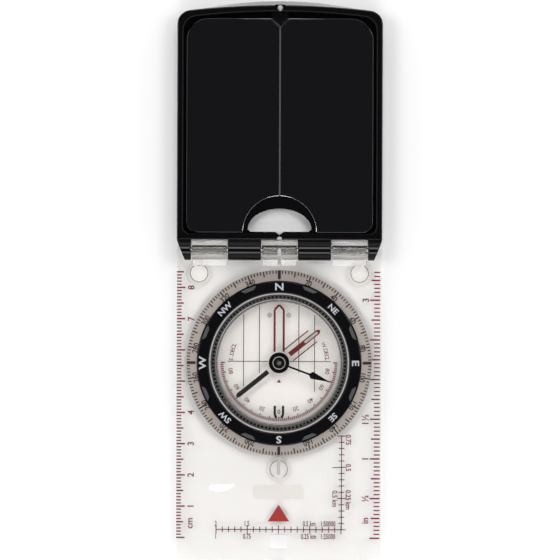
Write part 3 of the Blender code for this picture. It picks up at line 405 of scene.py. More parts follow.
class Finish:
    """A material around one Principled shader."""

    def __init__(self, name, **constants):
        self.material = bpy.data.materials.new(name)
        self.material.use_nodes = True
        self.tree = self.material.node_tree
        self.shader = self.tree.nodes["Principled BSDF"]
        for socket, value in constants.items():
            self.set(socket.replace("_", " ").title().replace("Ior", "IOR"), value)

    def set(self, socket, value):
        if socket == "Base Color" and not isinstance(value, Wire):
            value = (*value, 1)
        feed(self.tree, self.shader.inputs[socket], value)

    def node(self, kind, settings=None, sockets=None, output=0):
        node = self.tree.nodes.new(kind)
        for key, value in (settings or {}).items():
            setattr(node, key, value)
        for key, value in (sockets or {}).items():
            feed(self.tree, node.inputs[key], value)
        return Wire(self.tree, node.outputs[output])

    def place(self, stretch=(1, 1, 1), turn=0.0):
        """Object coordinates, stretched and turned about Z."""
        here = self.node("ShaderNodeTexCoord", output="Object")
        return self.node("ShaderNodeMapping", sockets={"Vector": here, "Scale": stretch,
                                                       "Rotation": (0, 0, math.radians(turn))})

    def noise(self, size, detail=3.0, stretch=(1, 1, 1), turn=0.0, roughness=0.55):
        """Noise whose lumps are about size across."""
        return self.node("ShaderNodeTexNoise",
                         sockets={"Vector": self.place(stretch, turn), "Scale": 1 / size,
                                                        "Detail": detail, "Roughness": roughness})

    def mix(self, factor, first, second):
        """Colour between two colours."""
        node = self.tree.nodes.new("ShaderNodeMix")
        node.data_type = "RGBA"
        feed(self.tree, node.inputs[0], factor)
        for socket, value in ((node.inputs[6], first), (node.inputs[7], second)):
            feed(self.tree, socket, value if isinstance(value, Wire) else (*value, 1))
        return Wire(self.tree, node.outputs[2])

    def bump(self, height, distance, strength=1.0):
        self.set("Normal", self.node("ShaderNodeBump", sockets={"Height": height, "Distance": distance,
                                                                "Strength": strength}))

    def scratches(self, size, turn, amount=0.62):
        """Mask of fine straight scratches at an angle."""
        return self.noise(size, 2, (1, 0.03, 1), turn, 0.4).above(amount)


def shade(colour, share):
    return tuple(min(level * share, 1) for level in colour)


def clear_plastic(name, colour, ior=1.49, haze=0.02, scratch=0.05):
    """Polished clear plastic with handling haze and fine scratches; lamps shine through it."""
    finish = Finish(name, roughness=haze, transmission_weight=1.0, ior=ior)
    marks = finish.scratches(0.35 * MM, 24, 0.66) + finish.scratches(0.4 * MM, -37, 0.67)
    smears = finish.noise(9 * MM, 4)
    finish.set("Base Color", finish.mix(smears, shade(colour, 0.985), colour))
    finish.set("Roughness", smears * haze + marks * scratch)
    shadow = finish.node("ShaderNodeLightPath", output="Is Shadow Ray")
    through = finish.node("ShaderNodeBsdfTransparent", sockets={"Color": (*colour, 1)})
    glass = Wire(finish.tree, finish.shader.outputs[0])
    mixed = finish.node("ShaderNodeMixShader", sockets={0: shadow, 1: glass, 2: through})
    finish.tree.links.new(mixed.socket, finish.tree.nodes["Material Output"].inputs["Surface"])
    return finish.material


def gloss_plastic(name, colour, gloss=0.10, dust=0.25):
    """Moulded gloss plastic: faint orange peel, hairline scratches, and dust that lightens it a little."""
    finish = Finish(name, roughness=gloss, specular_ior_level=0.22)
    dusty = finish.noise(0.7 * MM, 5, roughness=0.7) ** 3
    smears = finish.noise(12 * MM, 3)
    hair = finish.scratches(0.25 * MM, 15, 0.7) + finish.scratches(0.3 * MM, -60, 0.71)
    finish.set("Base Color", finish.mix(dusty * dust, colour, shade(colour, 2.0)))
    finish.set("Roughness", smears * 0.05 + hair * 0.04 + gloss * 0.7)
    finish.bump(finish.noise(1.6 * MM, 3), 0.006 * MM, 0.2)
    return finish.material


def satin_plastic(name, colour, rough=0.38, depth=0.012):
    """Matt or satin moulded plastic with a fine spark-eroded grain and slight colour drift."""
    finish = Finish(name, roughness=rough)
    grain = finish.noise(0.14 * MM, 2)
    drift = finish.noise(5 * MM, 3)
    finish.set("Base Color", finish.mix(drift, shade(colour, 0.93), shade(colour, 1.07)))
    finish.set("Roughness", grain * 0.2 + drift * 0.1 + (rough - 0.12))
    finish.bump(grain, depth * MM, 0.6)
    return finish.material


def ink(name, colour, rough=0.55):
    """Screen-printed ink: slightly uneven cover and small thin spots."""
    finish = Finish(name, roughness=rough, specular_ior_level=0.3)
    cover = finish.noise(0.25 * MM, 4, roughness=0.7)
    finish.set("Base Color", finish.mix(cover, shade(colour, 0.82), shade(colour, 1.18)))
    finish.set("Roughness", cover * 0.2 + (rough - 0.1))
    finish.bump(cover, 0.004 * MM, 0.4)
    return finish.material


def metal(name, colour, rough, turn=0.0, stretch=(1, 1, 1), grain=0.12):
    """Drawn or turned metal with a lay of fine lines and duller patches."""
    finish = Finish(name, metallic=1.0, roughness=rough)
    lines = finish.noise(grain * MM, 2, stretch, turn)
    patches = finish.noise(1.8 * MM, 3)
    finish.set("Base Color", finish.mix(patches, shade(colour, 0.85), colour))
    finish.set("Roughness", lines * 0.12 + patches * 0.1 + (rough - 0.08))
    finish.bump(lines, 0.006 * MM, 0.5)
    return finish.material


def mirror_glass(name, colour):
    """Silvered glass: almost smooth, with handling smears and a few hairlines."""
    finish = Finish(name, metallic=1.0, roughness=0.02)
    smears = finish.noise(10 * MM, 4)
    hair = finish.scratches(0.2 * MM, 33, 0.74)
    finish.set("Base Color", finish.mix(smears, shade(colour, 0.97), colour))
    finish.set("Roughness", smears * 0.02 + hair * 0.03 + 0.005)
    finish.bump(finish.noise(20 * MM, 1), 0.01 * MM, 0.05)
    return finish.material


_finishes = {}


# Settings

class StageSettings(bpy.types.PropertyGroup):
    floor_side: length("Floor side", "Side of the square floor", 4.0)
    floor_colour: tint("Floor colour", "Colour of the floor", (250, 250, 250))
    camera_height: length("Camera height", "Camera above the floor", 1.0)
    view_width: length("View width", "Width of the camera's view at the plate", 179.8 * MM)
    camera_roll: bearing("Camera roll", "Turn of the camera about its view", 0.2)


class PlateSettings(bpy.types.PropertyGroup):
    thickness: length("Thickness", "Thickness of the clear plate", 3.0 * MM)
    edge: length("Edge", "Rounding of the plate's edges", 0.3 * MM)
    corner: length("Corner", "Radius of the front corners", 3.0 * MM)
    colour: tint("Colour", "Tint of the clear plastic", (244, 243, 242))
    foot_colour: tint("Foot colour", "Tint of the silicone feet", (245, 244, 243))
    lume_colour: tint("Luminous colour", "Index strips, dots and sight beads", (184, 180, 177))
    ruler_colour: tint("Ruler colour", "Ink of the rulers and the direction mark", (112, 40, 50))
    scale_colour: tint("Scale colour", "Ink of the map scales", (104, 44, 52))
    mark_colour: tint("Mark colour", "Ink of the direction mark", (158, 44, 38))
    # Painted shade: the joint colour is a dark ring standing in for the shade seen where each plug meets the
    # clear plate
    joint_colour: tint("Joint colour", "Dust in the joint around each foot's plug", (112, 110, 108))
    # Painted highlight: the pale bead stands in for light caught on the edge around the snap ring
    pin_colour: tint("Pin colour", "Metal of the hinge pin", (196, 194, 188))


class DialSettings(bpy.types.PropertyGroup):
    ring_colour: tint("Ring colour", "Degree ring", (170, 160, 154))
    ink_colour: tint("Ink colour", "Ticks and numbers of the degree ring", (40, 32, 33))
    grip_colour: tint("Grip colour", "Black grip ring", (13, 12, 14))
    pad_colour: tint("Recess colour", "Ribbed floors of the recesses", (62, 61, 63))
    letter_colour: tint("Letter colour", "Letters of the grip ring", (180, 180, 186))
    snap_colour: tint("Snap ring colour", "Ring over the capsule's rim", (50, 48, 49))
    snap_edge_colour: tint("Snap ring edge", "Bright bead around the snap ring", (200, 199, 198))
    gear_colour: tint("Gear colour", "Toothed ring around the capsule", (72, 69, 70))
    notches: IntProperty(name="Recesses", description="Finger recesses around the grip ring", default=8,
                         min=1)


class CapsuleSettings(bpy.types.PropertyGroup):
    colour: tint("Colour", "Tint of the clear capsule", (250, 249, 248))
    red: tint("Red", "Orienting arrow, needle's north end and its lines", (104, 14, 16))
    fine_colour: tint("Fine lines", "Meridian lines and declination scale", (108, 44, 48))
    ink_colour: tint("Ink colour", "East-west line and inner meridian lines", (88, 78, 80))
    black: tint("Black", "Needle's south end, hub and clinometer pointer", (12, 11, 12))


class LidSettings(bpy.types.PropertyGroup):
    colour: tint("Colour", "Black plastic of the lid", (12, 10, 12))
    mirror_colour: tint("Mirror colour", "Silvering of the mirror", (214, 215, 218))
    edge: length("Edge", "Rounding of the lid's edges", 0.35 * MM)
    line_width: length("Sight line", "Width of the sight line on the mirror", 0.45 * MM)
    line_colour: tint("Sight line colour", "Sight line on the mirror", (74, 72, 74))


class CompassSettings(bpy.types.PropertyGroup):
    stage: PointerProperty(type=StageSettings)
    plate: PointerProperty(type=PlateSettings)
    dial: PointerProperty(type=DialSettings)
    capsule: PointerProperty(type=CapsuleSettings)
    lid: PointerProperty(type=LidSettings)


def on_dial(x, y):
    """Place in plan from the dial's centre, in millimetres."""
    return (DIAL.x + x * MM, DIAL.y + y * MM)


def shared(name):
    """Finishes that several pieces have."""
    look = bpy.context.scene.compass
    makers = {
        "clear_acrylic": lambda: clear_plastic("clear_acrylic", look.plate.colour[:]),
        "clear_capsule": lambda: clear_plastic("clear_capsule", look.capsule.colour[:], 1.25, 0.01, 0.03),
        "clear_blade": lambda: clear_plastic("clear_blade", srgb(254, 254, 254), 1.08, 0.0, 0.0),
        # Painted shade: grey for the ring at the capsule's rim
        "painted_rim_shade": lambda: satin_plastic("painted_rim_shade", srgb(104, 101, 101), 0.5),
        "silicone": lambda: clear_plastic("silicone", look.plate.foot_colour[:], 1.41, 0.03, 0.0),
        # Painted shade for the dark ring around each foot's plug
        "painted_joint_shade": lambda: ink("painted_joint_shade", look.plate.joint_colour[:], 0.8),
        "mark_ink": lambda: ink("mark_ink", look.plate.mark_colour[:]),
        # Painted highlight for the bright edge of the snap ring
        "painted_edge_highlight": lambda: ink("painted_edge_highlight", look.dial.snap_edge_colour[:], 0.3),
        "recess_floor": lambda: satin_plastic("recess_floor", look.dial.pad_colour[:], 0.5),
        "fine_ink": lambda: ink("fine_ink", look.capsule.fine_colour[:]),
        "line_paint": lambda: ink("line_paint", look.lid.line_colour[:]),
        "lume": lambda: satin_plastic("lume", look.plate.lume_colour[:], 0.6),
        "ruler_ink": lambda: ink("ruler_ink", look.plate.ruler_colour[:]),
        "scale_ink": lambda: ink("scale_ink", look.plate.scale_colour[:]),
        "steel": lambda: metal("steel", look.plate.pin_colour[:], 0.22, stretch=(0.05, 1, 1)),
        "degree_plastic": lambda: satin_plastic("degree_plastic", look.dial.ring_colour[:], 0.42),
        "degree_ink": lambda: ink("degree_ink", look.dial.ink_colour[:]),
        "grip_plastic": lambda: gloss_plastic("grip_plastic", look.dial.grip_colour[:], 0.14),
        "letter_ink": lambda: ink("letter_ink", look.dial.letter_colour[:]),
        "pale_plastic": lambda: satin_plastic("pale_plastic", look.dial.snap_colour[:], 0.35),
        "gear_plastic": lambda: satin_plastic("gear_plastic", look.dial.gear_colour[:], 0.4),
        "red_paint": lambda: ink("red_paint", look.capsule.red[:], 0.45),
        "capsule_ink": lambda: ink("capsule_ink", look.capsule.ink_colour[:]),
        "black_paint": lambda: ink("black_paint", look.capsule.black[:], 0.4),
        "hub_plastic": lambda: gloss_plastic("hub_plastic", look.capsule.black[:], 0.3),
        "lid_plastic": lambda: gloss_plastic("lid_plastic", look.lid.colour[:]),
        "mirror_silver": lambda: mirror_glass("mirror_silver", look.lid.mirror_colour[:]),
        "foam": lambda: satin_plastic("foam", srgb(208, 208, 204), 0.9, 0.05),
        "brass": lambda: metal("brass", srgb(200, 165, 96), 0.3),
        "magnet": lambda: metal("magnet", srgb(96, 96, 100), 0.45),
        "jewel": lambda: gloss_plastic("jewel", srgb(150, 40, 60), 0.1),
    }
    if name not in _finishes:
        _finishes[name] = makers[name]()
    return _finishes[name]


class PieceOperator(bpy.types.Operator):
    """Shared start of the operators"""
    bl_idname = "compass.piece"
    bl_label = "Piece"
    bl_options = {"REGISTER", "UNDO"}

    def execute(self, context):
        self.build(context.scene.compass)
        return {"FINISHED"}


# Stage

class BuildStage(PieceOperator):
    """Floor, soft studio light and camera"""
    bl_idname = "compass.stage"
    bl_label = "Stage"

    def build(self, look):
        stage = look.stage
        half = stage.floor_side / 2
        floor = new_object("floor", slab(box_outline(-half, half, -half, half), -10 * MM, -0.05 * MM))
        paper = Finish("studio_paper", roughness=0.9, specular_ior_level=0.1)
        paper.set("Base Color", paper.mix(paper.noise(60 * MM, 2), shade(stage.floor_colour[:], 0.995),
                                          stage.floor_colour[:]))
        floor.data.materials.append(paper.material)
        self.light_up()
        self.place_camera(stage)

    def light_up(self):
        """A sky that is dark overhead and pale around, with soft lamps from the sides."""
        world = bpy.data.worlds.new("studio")
        bpy.context.scene.world = world
        world.use_nodes = True
        tree = world.node_tree
        background = tree.nodes["Background"]
        way = tree.nodes.new("ShaderNodeTexCoord")
        parts = tree.nodes.new("ShaderNodeSeparateXYZ")
        ramp = tree.nodes.new("ShaderNodeValToRGB")
        tree.links.new(way.outputs["Generated"], parts.inputs[0])
        tree.links.new(parts.outputs["Z"], ramp.inputs[0])
        tree.links.new(ramp.outputs[0], background.inputs["Color"])
        low, high = ramp.color_ramp.elements
        low.position, low.color = 0.45, (0.90, 0.90, 0.91, 1)
        high.position, high.color = 0.93, (0.012, 0.012, 0.013, 1)
        background.inputs["Strength"].default_value = 1.0
        world.cycles_visibility.transmission = False
        for name, turn, rise, side, power in LAMPS:
            data = bpy.data.lights.new(name, "AREA")
            data.shape = "SQUARE"
            data.size = side
            data.energy = power
            lamp = bpy.data.objects.new(name, data)
            aim = Vector((math.sin(turn) * math.cos(rise), math.cos(turn) * math.cos(rise), math.sin(rise)))
            lamp.location = aim * LAMP_DISTANCE
            lamp.rotation_euler = aim.to_track_quat("Z", "Y").to_euler()
            lamp.visible_transmission = False
            bpy.context.scene.collection.objects.link(lamp)
        bpy.context.scene.view_settings.view_transform = "Standard"

    def place_camera(self, stage):
        data = bpy.data.cameras.new("camera")
        data.lens = data.sensor_width * (stage.camera_height - PLATE_BOX[0].z) / stage.view_width
        data.clip_start = 10 * MM
        data.clip_end = 20
        camera = bpy.data.objects.new("camera", data)
        camera.location = (CAMERA_SHIFT[0], CAMERA_SHIFT[1], stage.camera_height)
        camera.rotation_euler.z = stage.camera_roll
        bpy.context.scene.collection.objects.link(camera)
        bpy.context.scene.camera = camera


LAMP_DISTANCE = 1.6
LAMPS = (                     # name, bearing, rise above the floor, side, power
    ("left_lamp", math.radians(-80), math.radians(63), 0.5, 5.4),
    ("right_lamp", math.radians(75), math.radians(63), 0.5, 4.9),
    ("back_lamp", math.radians(8), math.radians(63), 0.5, 5.1),
    ("front_lamp", math.radians(178), math.radians(63), 0.5, 4.2),
)
CAMERA_SHIFT = (0.21 * MM, 0.13 * MM)


# Plate

FEET = {                      # node: centre on the dial's plan, in millimetres
    "foot_left": (-25.7, 28.6),
    "foot_right": (25.7, 28.6),
    "foot_centre": (0.0, -34.2),
}
KNUCKLES = (-22.3, 0.0, 22.3)
KNUCKLE_HALF = 5.6
KNUCKLE_RADIUS = 3.0
PIN_BORE = 1.1


def plate_top():
    return PLATE_BOX[0].z + bpy.context.scene.compass.plate.thickness


def side_foot(grow=0.0):
    """Round flange with a tongue towards the hinge; grow is in millimetres."""
    half = (1.55 + grow) * MM
    radius = (4.2 + grow) * MM
    opening = math.degrees(math.asin(half / radius))
    reach = (5.0 + grow) * MM
    return [(half, reach), (-half, reach)] + arc(radius, 90 + opening, 450 - opening, FINE)


def centre_foot(grow=0.0):
    """Round flange with a stem and a cross bar towards the front edge; grow is in millimetres."""
    stem = (1.15 + grow) * MM
    radius = (4.2 + grow) * MM
    opening = math.degrees(math.asin(stem / radius))
    bar = (8.1 + grow) * MM
    near = (grow - 5.3) * MM
    far = (-9.3 - grow) * MM
    corner = 1.0 * MM
    arms = rounded([(-stem, near, 0), (-bar, near, corner), (-bar, far, corner), (bar, far, corner),
                    (bar, near, corner), (stem, near, 0)])
    return arms + arc(radius, -90 + opening, 270 - opening, FINE)


def foot_shape(node, grow=0.0):
    return centre_foot(grow) if node == "foot_centre" else side_foot(grow)


def shelf_height(reach):
    """Height of the sloping shelf at a distance in front of the hinge's axis, in millimetres."""
    return -1.6 - (reach - KNUCKLE_RADIUS) * 0.3


def knuckle_side():
    """Side view of a plate knuckle, from the hinge's axis, in (y, z)."""
    head = arc(KNUCKLE_RADIUS, -60, 180, FINE // 2)
    low = -5.9
    points = [(1.5, low)] + head + [(-KNUCKLE_RADIUS, shelf_height(KNUCKLE_RADIUS)),
                                    (-4.9, shelf_height(4.9)), (-4.9, low)]
    return [(HINGE.y + y * MM, HINGE.z + z * MM) for y, z in points]


def rear_strip_side(grow=0.0):
    """Side view of the rear index strip; grow is in millimetres."""
    outer = KNUCKLE_RADIUS + 0.1 + grow
    inner = KNUCKLE_RADIUS - 0.4 - grow
    toe = 4.4 + grow
    points = arc(outer, 80 - grow * 18, 180, 14)
    points += [(-outer, shelf_height(outer) + 0.1 + grow), (-toe, shelf_height(toe) + 0.1 + grow),
               (-toe, shelf_height(toe) - 0.4 - grow), (-inner, shelf_height(inner) - 0.4 - grow)]
    points += arc(inner, 180, 80 - grow * 18, 14)
    return [(HINGE.y + y * MM, HINGE.z + z * MM) for y, z in points]


class BuildPlate(PieceOperator):
    """Clear plate with its magnifier, hinge knuckles, lanyard slot and seats"""
    bl_idname = "compass.plate"
    bl_label = "Plate"

    def build(self, look):
        plate = look.plate
        low, high = PLATE_BOX
        top = plate_top()
        outline = rounded([(low.x, low.y, plate.corner), (high.x, low.y, plate.corner),
                           (high.x, high.y, plate.corner / 2), (low.x, high.y, plate.corner / 2)])
        piece = new_object("clear_plate", slab(outline, low.z, top, plate.edge))
        heads = [across(knuckle_side(), (x - KNUCKLE_HALF) * MM, (x + KNUCKLE_HALF) * MM, plate.edge)
                 for x in KNUCKLES]
        join(piece, merged(heads))
        join(piece, self.magnifier(top))
        under = low.z - OVER
        over = top + OVER
        hub = (GRIP_BOX[1].x - 0.8 * MM) + 0.25 * MM
        step = RETAINER_BOX[1].z + 0.25 * MM
        seat = RETAINER_BOX[1].x + 0.25 * MM
        cut(piece,
            move(turned([(0, under), (seat, under), (seat, step), (hub, step), (hub, over), (0, over)]),
                        DIAL))
        bore = along_x(turned([(0, low.x), (PIN_BORE * MM, low.x), (PIN_BORE * MM, high.x), (0, high.x)],
                              FINE))
        cut(piece, move(bore, HINGE))
        slot_y = low.y + 5.9 * MM
        cut(piece, slab(box_outline(-2.65 * MM, 2.65 * MM, slot_y - 2.3 * MM, slot_y + 2.3 * MM, 0.6 * MM),
                        under, over))
        cut(piece, slab(box_outline(-2.05 * MM, 2.05 * MM, low.y - OVER, slot_y), under, low.z + 1.2 * MM))
        for node, place in FEET.items():
            spot = Vector((*on_dial(*place), 0))
            cut(piece, move(slab(foot_shape(node, 0.2), under, 1.4 * MM), spot))
            cut(piece, move(slab(circle(2.9 * MM), 1.2 * MM, over), spot))
        half = 0.75 * MM
        cut(piece, across(rear_strip_side(0.2), -half, half))
        start = -DEGREE_BOX[1].x - 0.05 * MM
        groove = box_outline(-half, half, DIAL.y + start - 6.1 * MM, DIAL.y + start)
        cut(piece, slab(groove, top - 0.6 * MM, over))
        settle(piece, shared("clear_acrylic"), "base", ["baseplate"])

    def magnifier(self, top):
        radius, rise = 8.0 * MM, 0.6 * MM
        curve = (radius ** 2 + rise ** 2) / (2 * rise)
        bend = math.degrees(math.asin(radius / curve))
        dome = [(0, top - OVER), (radius, top - OVER)]
        dome += arc(curve, 90 - bend, 90, 16, (0, top + rise - curve))[:-1] + [(0, top + rise)]
        return move(turned(dome, 96), Vector((*on_dial(-19.3, -33.3), 0)))


class BuildFeet(PieceOperator):
    """Three silicone feet that plug into the plate"""
    bl_idname = "compass.feet"
    bl_label = "Feet"

    def build(self, look):
        for node, place in FEET.items():
            low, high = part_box(node)
            spot = Vector((*on_dial(*place), 0))
            foot = new_object(f"silicone_{node}", move(slab(foot_shape(node), 0, 1.2 * MM, 0.2 * MM), spot))
            plug = ring_of(1.2 * MM, 2.7 * MM, 0.6 * MM, high.z, 0.25 * MM, FINE)
            join(foot, move(plug, spot))
            core = turned([(0, 0.6 * MM), (1.6 * MM, 0.6 * MM), (1.6 * MM, high.z - 0.4 * MM),
                           (0, high.z - 0.2 * MM)], FINE)
            join(foot, move(core, spot))
            settle(foot, shared("silicone"), "base", [node])
            # Painted shade: a dark C-shaped ring laid around each plug, standing in for the shade at the
            # joint between plug and plate
            joint = Print()
            mouth = math.degrees(math.asin(0.5))
            turn = 270 if node == "foot_centre" else 90
            joint.path(arc(2.8 * MM, turn + mouth, turn + 360 - mouth, FINE, on_dial(*place)), 0.22 * MM)
            joint.lay(f"{node}_joint", high.z, shared("painted_joint_shade"), "base")


class BuildHingePin(PieceOperator):
    """Ground pin through the hinge"""
    bl_idname = "compass.hinge_pin"
    bl_label = "Hinge pin"

    def build(self, look):
        low, high = PIN_BOX
        radius = (high.z - low.z) / 2
        bevel = radius / 4
        profile = [(0, low.x), (radius - bevel, low.x), (radius, low.x + bevel), (radius, high.x - bevel),
                   (radius - bevel, high.x), (0, high.x)]
        pin = new_object("ground_pin", move(along_x(turned(profile, FINE)), HINGE))
        settle(pin, shared("steel"), "base", ["hinge_pin"])


class BuildIndexStrips(PieceOperator):
    """Luminous strips before and behind the dial"""
    bl_idname = "compass.index_strips"
    bl_label = "Index strips"

    def build(self, look):
        half = 0.55 * MM
        rear = new_object("rear_strip", across(rear_strip_side(), -half, half, 0.1 * MM))
        settle(rear, shared("lume"), "base", ["rear_index"])
        low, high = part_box("front_index")
        outline = rounded([(low.x, low.y, half * 0.9), (high.x, low.y, half * 0.9),
                           (high.x, high.y, half * 0.9),
                           (low.x, high.y, half * 0.9)])
        front = new_object("front_strip", slab(outline, low.z, high.z, 0.1 * MM))
        settle(front, shared("lume"), "base", ["front_index"])


class PrintPlate(PieceOperator):
    """Rulers, map scales and the direction mark on the plate"""
    bl_idname = "compass.plate_prints"
    bl_label = "Plate prints"

    def build(self, look):
        top = plate_top()
        rulers = Print()
        self.centimetres(rulers)
        self.inches(rulers)
        rulers.lay("rulers", top, shared("ruler_ink"), "base")
        mark = Print()
        mark.shape([on_dial(-3.43, -50.8), on_dial(3.43, -50.8), on_dial(0, -45.4)])
        mark.lay("direction_mark", top, shared("mark_ink"), "base")
        scales = Print()
        self.wide_scale(scales)
        self.tall_scale(scales)
        scales.lay("map_scales", top, shared("scale_ink"), "base")

    def centimetres(self, rulers):
        edge = -32.75
        for step in range(86):
            reach = 2.7 if step % 10 == 0 else 2.2 if step % 5 == 0 else 1.5
            y = step - 56.0
            rulers.bar(on_dial(edge, y), on_dial(edge + reach, y), (0.5 if step % 5 == 0 else 0.42) * MM)
        for number in (1, 2, 3, 4, 5, 6, 7, 8):
            rulers.text(str(number), 2.0 * MM, on_dial(-28.2, number * 10 - 56.0), 90)
        rulers.text("cm", 2.0 * MM, on_dial(-28.2, -51.5), 90)

    def inches(self, rulers):
        edge = 32.3
        for step in range(68):
            reach = 3.2 if step % 10 == 0 else 2.8 if step % 5 == 0 else 1.9
            y = step * 1.27 - 56.1
            rulers.bar(on_dial(edge - reach, y), on_dial(edge, y), (0.5 if step % 5 == 0 else 0.42) * MM)
        for words, inch in (("\u00bd", 0.5), ("1", 1), ("1\u00bd", 1.5), ("2", 2), ("3", 3)):
            rulers.text(words, 2.0 * MM, on_dial(27.7, inch * 25.4 - 56.1), 90)
        rulers.text("in", 2.0 * MM, on_dial(27.7, -50.5), 90)

    def wide_scale(self, scales):
        y = -53.4
        scales.bar(on_dial(-20.1, y), on_dial(20.2, y), 0.3 * MM)
        for step in range(21):
            half = 1.35 if step % 5 == 0 else 0.93
            x = step * 2.0 - 20.0
            scales.bar(on_dial(x, y - half), on_dial(x, y + half), 0.3 * MM)
        for words, x in (("2", -20.1), ("1.5", -10.1), ("0.5 km", 9.8), ("1:50000", 15.9)):
            scales.text(words, 1.6 * MM, on_dial(x, -51.5), stretch=0.66)
        for words, x in (("1", -20.1), ("0.75", -10.1), ("0.25 km", 9.6), ("1:25000", 15.9)):
            scales.text(words, 1.6 * MM, on_dial(x, -55.6), stretch=0.66)

    def tall_scale(self, scales):
        x = 20.1
        scales.bar(on_dial(x, -53.4), on_dial(x, -23.3), 0.3 * MM)
        for step in range(16):
            half = 1.35 if step % 5 == 0 else 0.93
            y = step * 2.0 - 53.4
            scales.bar(on_dial(x - half, y), on_dial(x + half, y), 0.3 * MM)
        for words, y in (("0.25 km", -43.8), ("0.5", -33.5), ("0.75", -24.6)):
            scales.text(words, 1.6 * MM, on_dial(22.3, y), -90, 0.85)
        for words, y in (("0.5 km", -43.5), ("1", -33.5)):
            scales.text(words, 1.6 * MM, on_dial(18.0, y), -90, 0.85)


# Dial

def ring_height(x, y):
    """Top of the degree ring's slope over a place in plan."""
    radius = math.hypot(x - DIAL.x, y - DIAL.y)
    outer, inner = DEGREE_BOX[1].x, GRIP_BOX[1].x
    low, high = DEGREE_BOX[0].z + 0.9 * MM, DEGREE_BOX[1].z
    return high - (radius - inner) * (high - low) / (outer - inner)


class BuildDegreeRing(PieceOperator):
    """Sloping degree ring with its ticks and numbers"""
    bl_idname = "compass.degree_ring"
    bl_label = "Degree ring"

    def build(self, look):
        low, high = DEGREE_BOX
        grip = GRIP_BOX[1].x
        inner = grip - 0.6 * MM
        fillet = 0.2 * MM
        profile = rounded([(inner, low.z, 0), (high.x, low.z, fillet), (high.x, low.z + 0.9 * MM, fillet),
                           (grip, high.z, 0), (inner, high.z, 0)], 4)
        ring = new_object("sloping_ring", move(turned(profile, 180), DIAL))
        settle(ring, shared("degree_plastic"), "dial", ["degree_ring"])
        marks = Print()
        centre = on_dial(0, 0)
        for degree in range(0, 360, 2):
            if degree % 90 == 0:
                marks.tick(degree, 27.1 * MM, 29.5 * MM, 0.95 * MM, centre)
                tip = polar(27.1 * MM, math.radians(90 - degree), centre)
                marks.shape(circle(0.475 * MM, 16, tip))
            elif degree % 10 == 0:
                marks.tick(degree, 27.7 * MM, 29.5 * MM, 0.42 * MM, centre)
            else:
                marks.tick(degree, 28.5 * MM, 29.5 * MM, 0.36 * MM, centre)
        for degree in range(20, 360, 20):
            if degree != 180:
                marks.round_text(str(degree), 1.8 * MM, degree, 27.05 * MM, centre, 0.85)
        marks.lay("degree_marks", ring_height, shared("degree_ink"), "dial")


class BuildGripRing(PieceOperator):
    """Black turning ring with finger recesses and compass points"""
    bl_idname = "compass.grip_ring"
    bl_label = "Grip ring"

    def build(self, look):
        low, high = GRIP_BOX
        outer = high.x
        hub = outer - 0.8 * MM
        chamber = hub - 1.5 * MM
        inner = 22.5 * MM
        ledge = SNAP_BOX[0].z - 0.1 * MM
        seat = SNAP_BOX[1].z + 0.2 * MM
        wall = SNAP_BOX[1].x + 0.2 * MM
        skirt = DEGREE_BOX[1].z + 0.2 * MM
        bevel = 0.45 * MM
        profile = rounded([(hub, low.z, 0), (hub, skirt, 0), (outer, skirt, 0), (outer, high.z, bevel),
                           (inner, high.z, bevel / 2), (inner, seat, 0), (wall, seat, 0), (wall, ledge, 0),
                           (chamber, ledge, 0), (chamber, low.z, 0)], 5)
        ring = new_object("turning_ring", move(turned(profile, 180), DIAL))
        count = look.dial.notches
        recesses = []
        for index in range(count):
            spot = polar(27.5 * MM, math.tau * (index + 0.5) / count, on_dial(0, 0))
            recesses.append(slab(circle(3.2 * MM, FINE, spot), high.z - 0.5 * MM, high.z + OVER))
        cut(ring, merged(recesses))
        screw = JOINTS["declination_screw_turn"]["pos_m"]
        cut(ring, slab(circle(2.0 * MM, FINE, screw[:2]), low.z - OVER, ledge))
        settle(ring, shared("grip_plastic"), "dial", ["grip_ring"], 30)
        letters = Print()
        for index, words in enumerate(("N", "NE", "E", "SE", "S", "SW", "W", "NW")):
            tall = 2.2 if index % 2 == 0 else 1.8
            wide = 1.25 if index % 2 == 0 else 1.1
            letters.round_text(words, tall * MM, index * 45, 24.35 * MM, on_dial(0, 0), wide)
        letters.lay("compass_points", high.z, shared("letter_ink"), "dial")
        pads = Print()
        for index in range(count):
            middle = 360 * (index + 0.5) / count
            sector = arc(24.65 * MM, middle + 3.5, middle - 3.5, 6, on_dial(0, 0))
            pads.shape(arc(25.75 * MM, middle - 6.0, middle + 6.0, 8, on_dial(0, 0)) + sector)
        pads.lay("recess_floors", high.z - 0.5 * MM, shared("recess_floor"), "dial")


class BuildDialRings(PieceOperator):
    """Snap ring over the capsule, retainer under the plate, and the declination gears"""
    bl_idname = "compass.dial_rings"
    bl_label = "Dial rings and gears"

    def build(self, look):
        low, high = SNAP_BOX
        snap = ring_of(21.35 * MM, high.x, low.z, high.z, 0.2 * MM, 180)
        settle(new_object("bright_ring", move(snap, DIAL)), shared("pale_plastic"), "dial",
               ["capsule_snap_ring"])
        # Painted highlight: a pale line laid on the snap ring where its edge would catch the light
        bead = Print()
        bead.path(circle(22.1 * MM, ROUND, on_dial(0, 0)) + [on_dial(22.1, 0)], 0.4 * MM)
        bead.lay("bright_edge", high.z, shared("painted_edge_highlight"), "dial")
        low, high = RETAINER_BOX
        plate = new_object("retaining_ring", move(ring_of(20.4 * MM, high.x, low.z, high.z, 0.15 * MM), DIAL))
        screw = JOINTS["declination_screw_turn"]["pos_m"]
        cut(plate, slab(circle(1.75 * MM, FINE, screw[:2]), low.z - OVER, high.z + OVER))
        settle(plate, shared("grip_plastic"), "dial", ["dial_retainer"])
        dress("declination_gear", "gear_plastic")
        dress("declination_screw", "brass")


def dress(node, finish):
    """Give a CAD node its finish."""
    piece = frame["nodes"][node]
    piece.data.materials.clear()
    piece.data.materials.append(shared(finish))


# Capsule

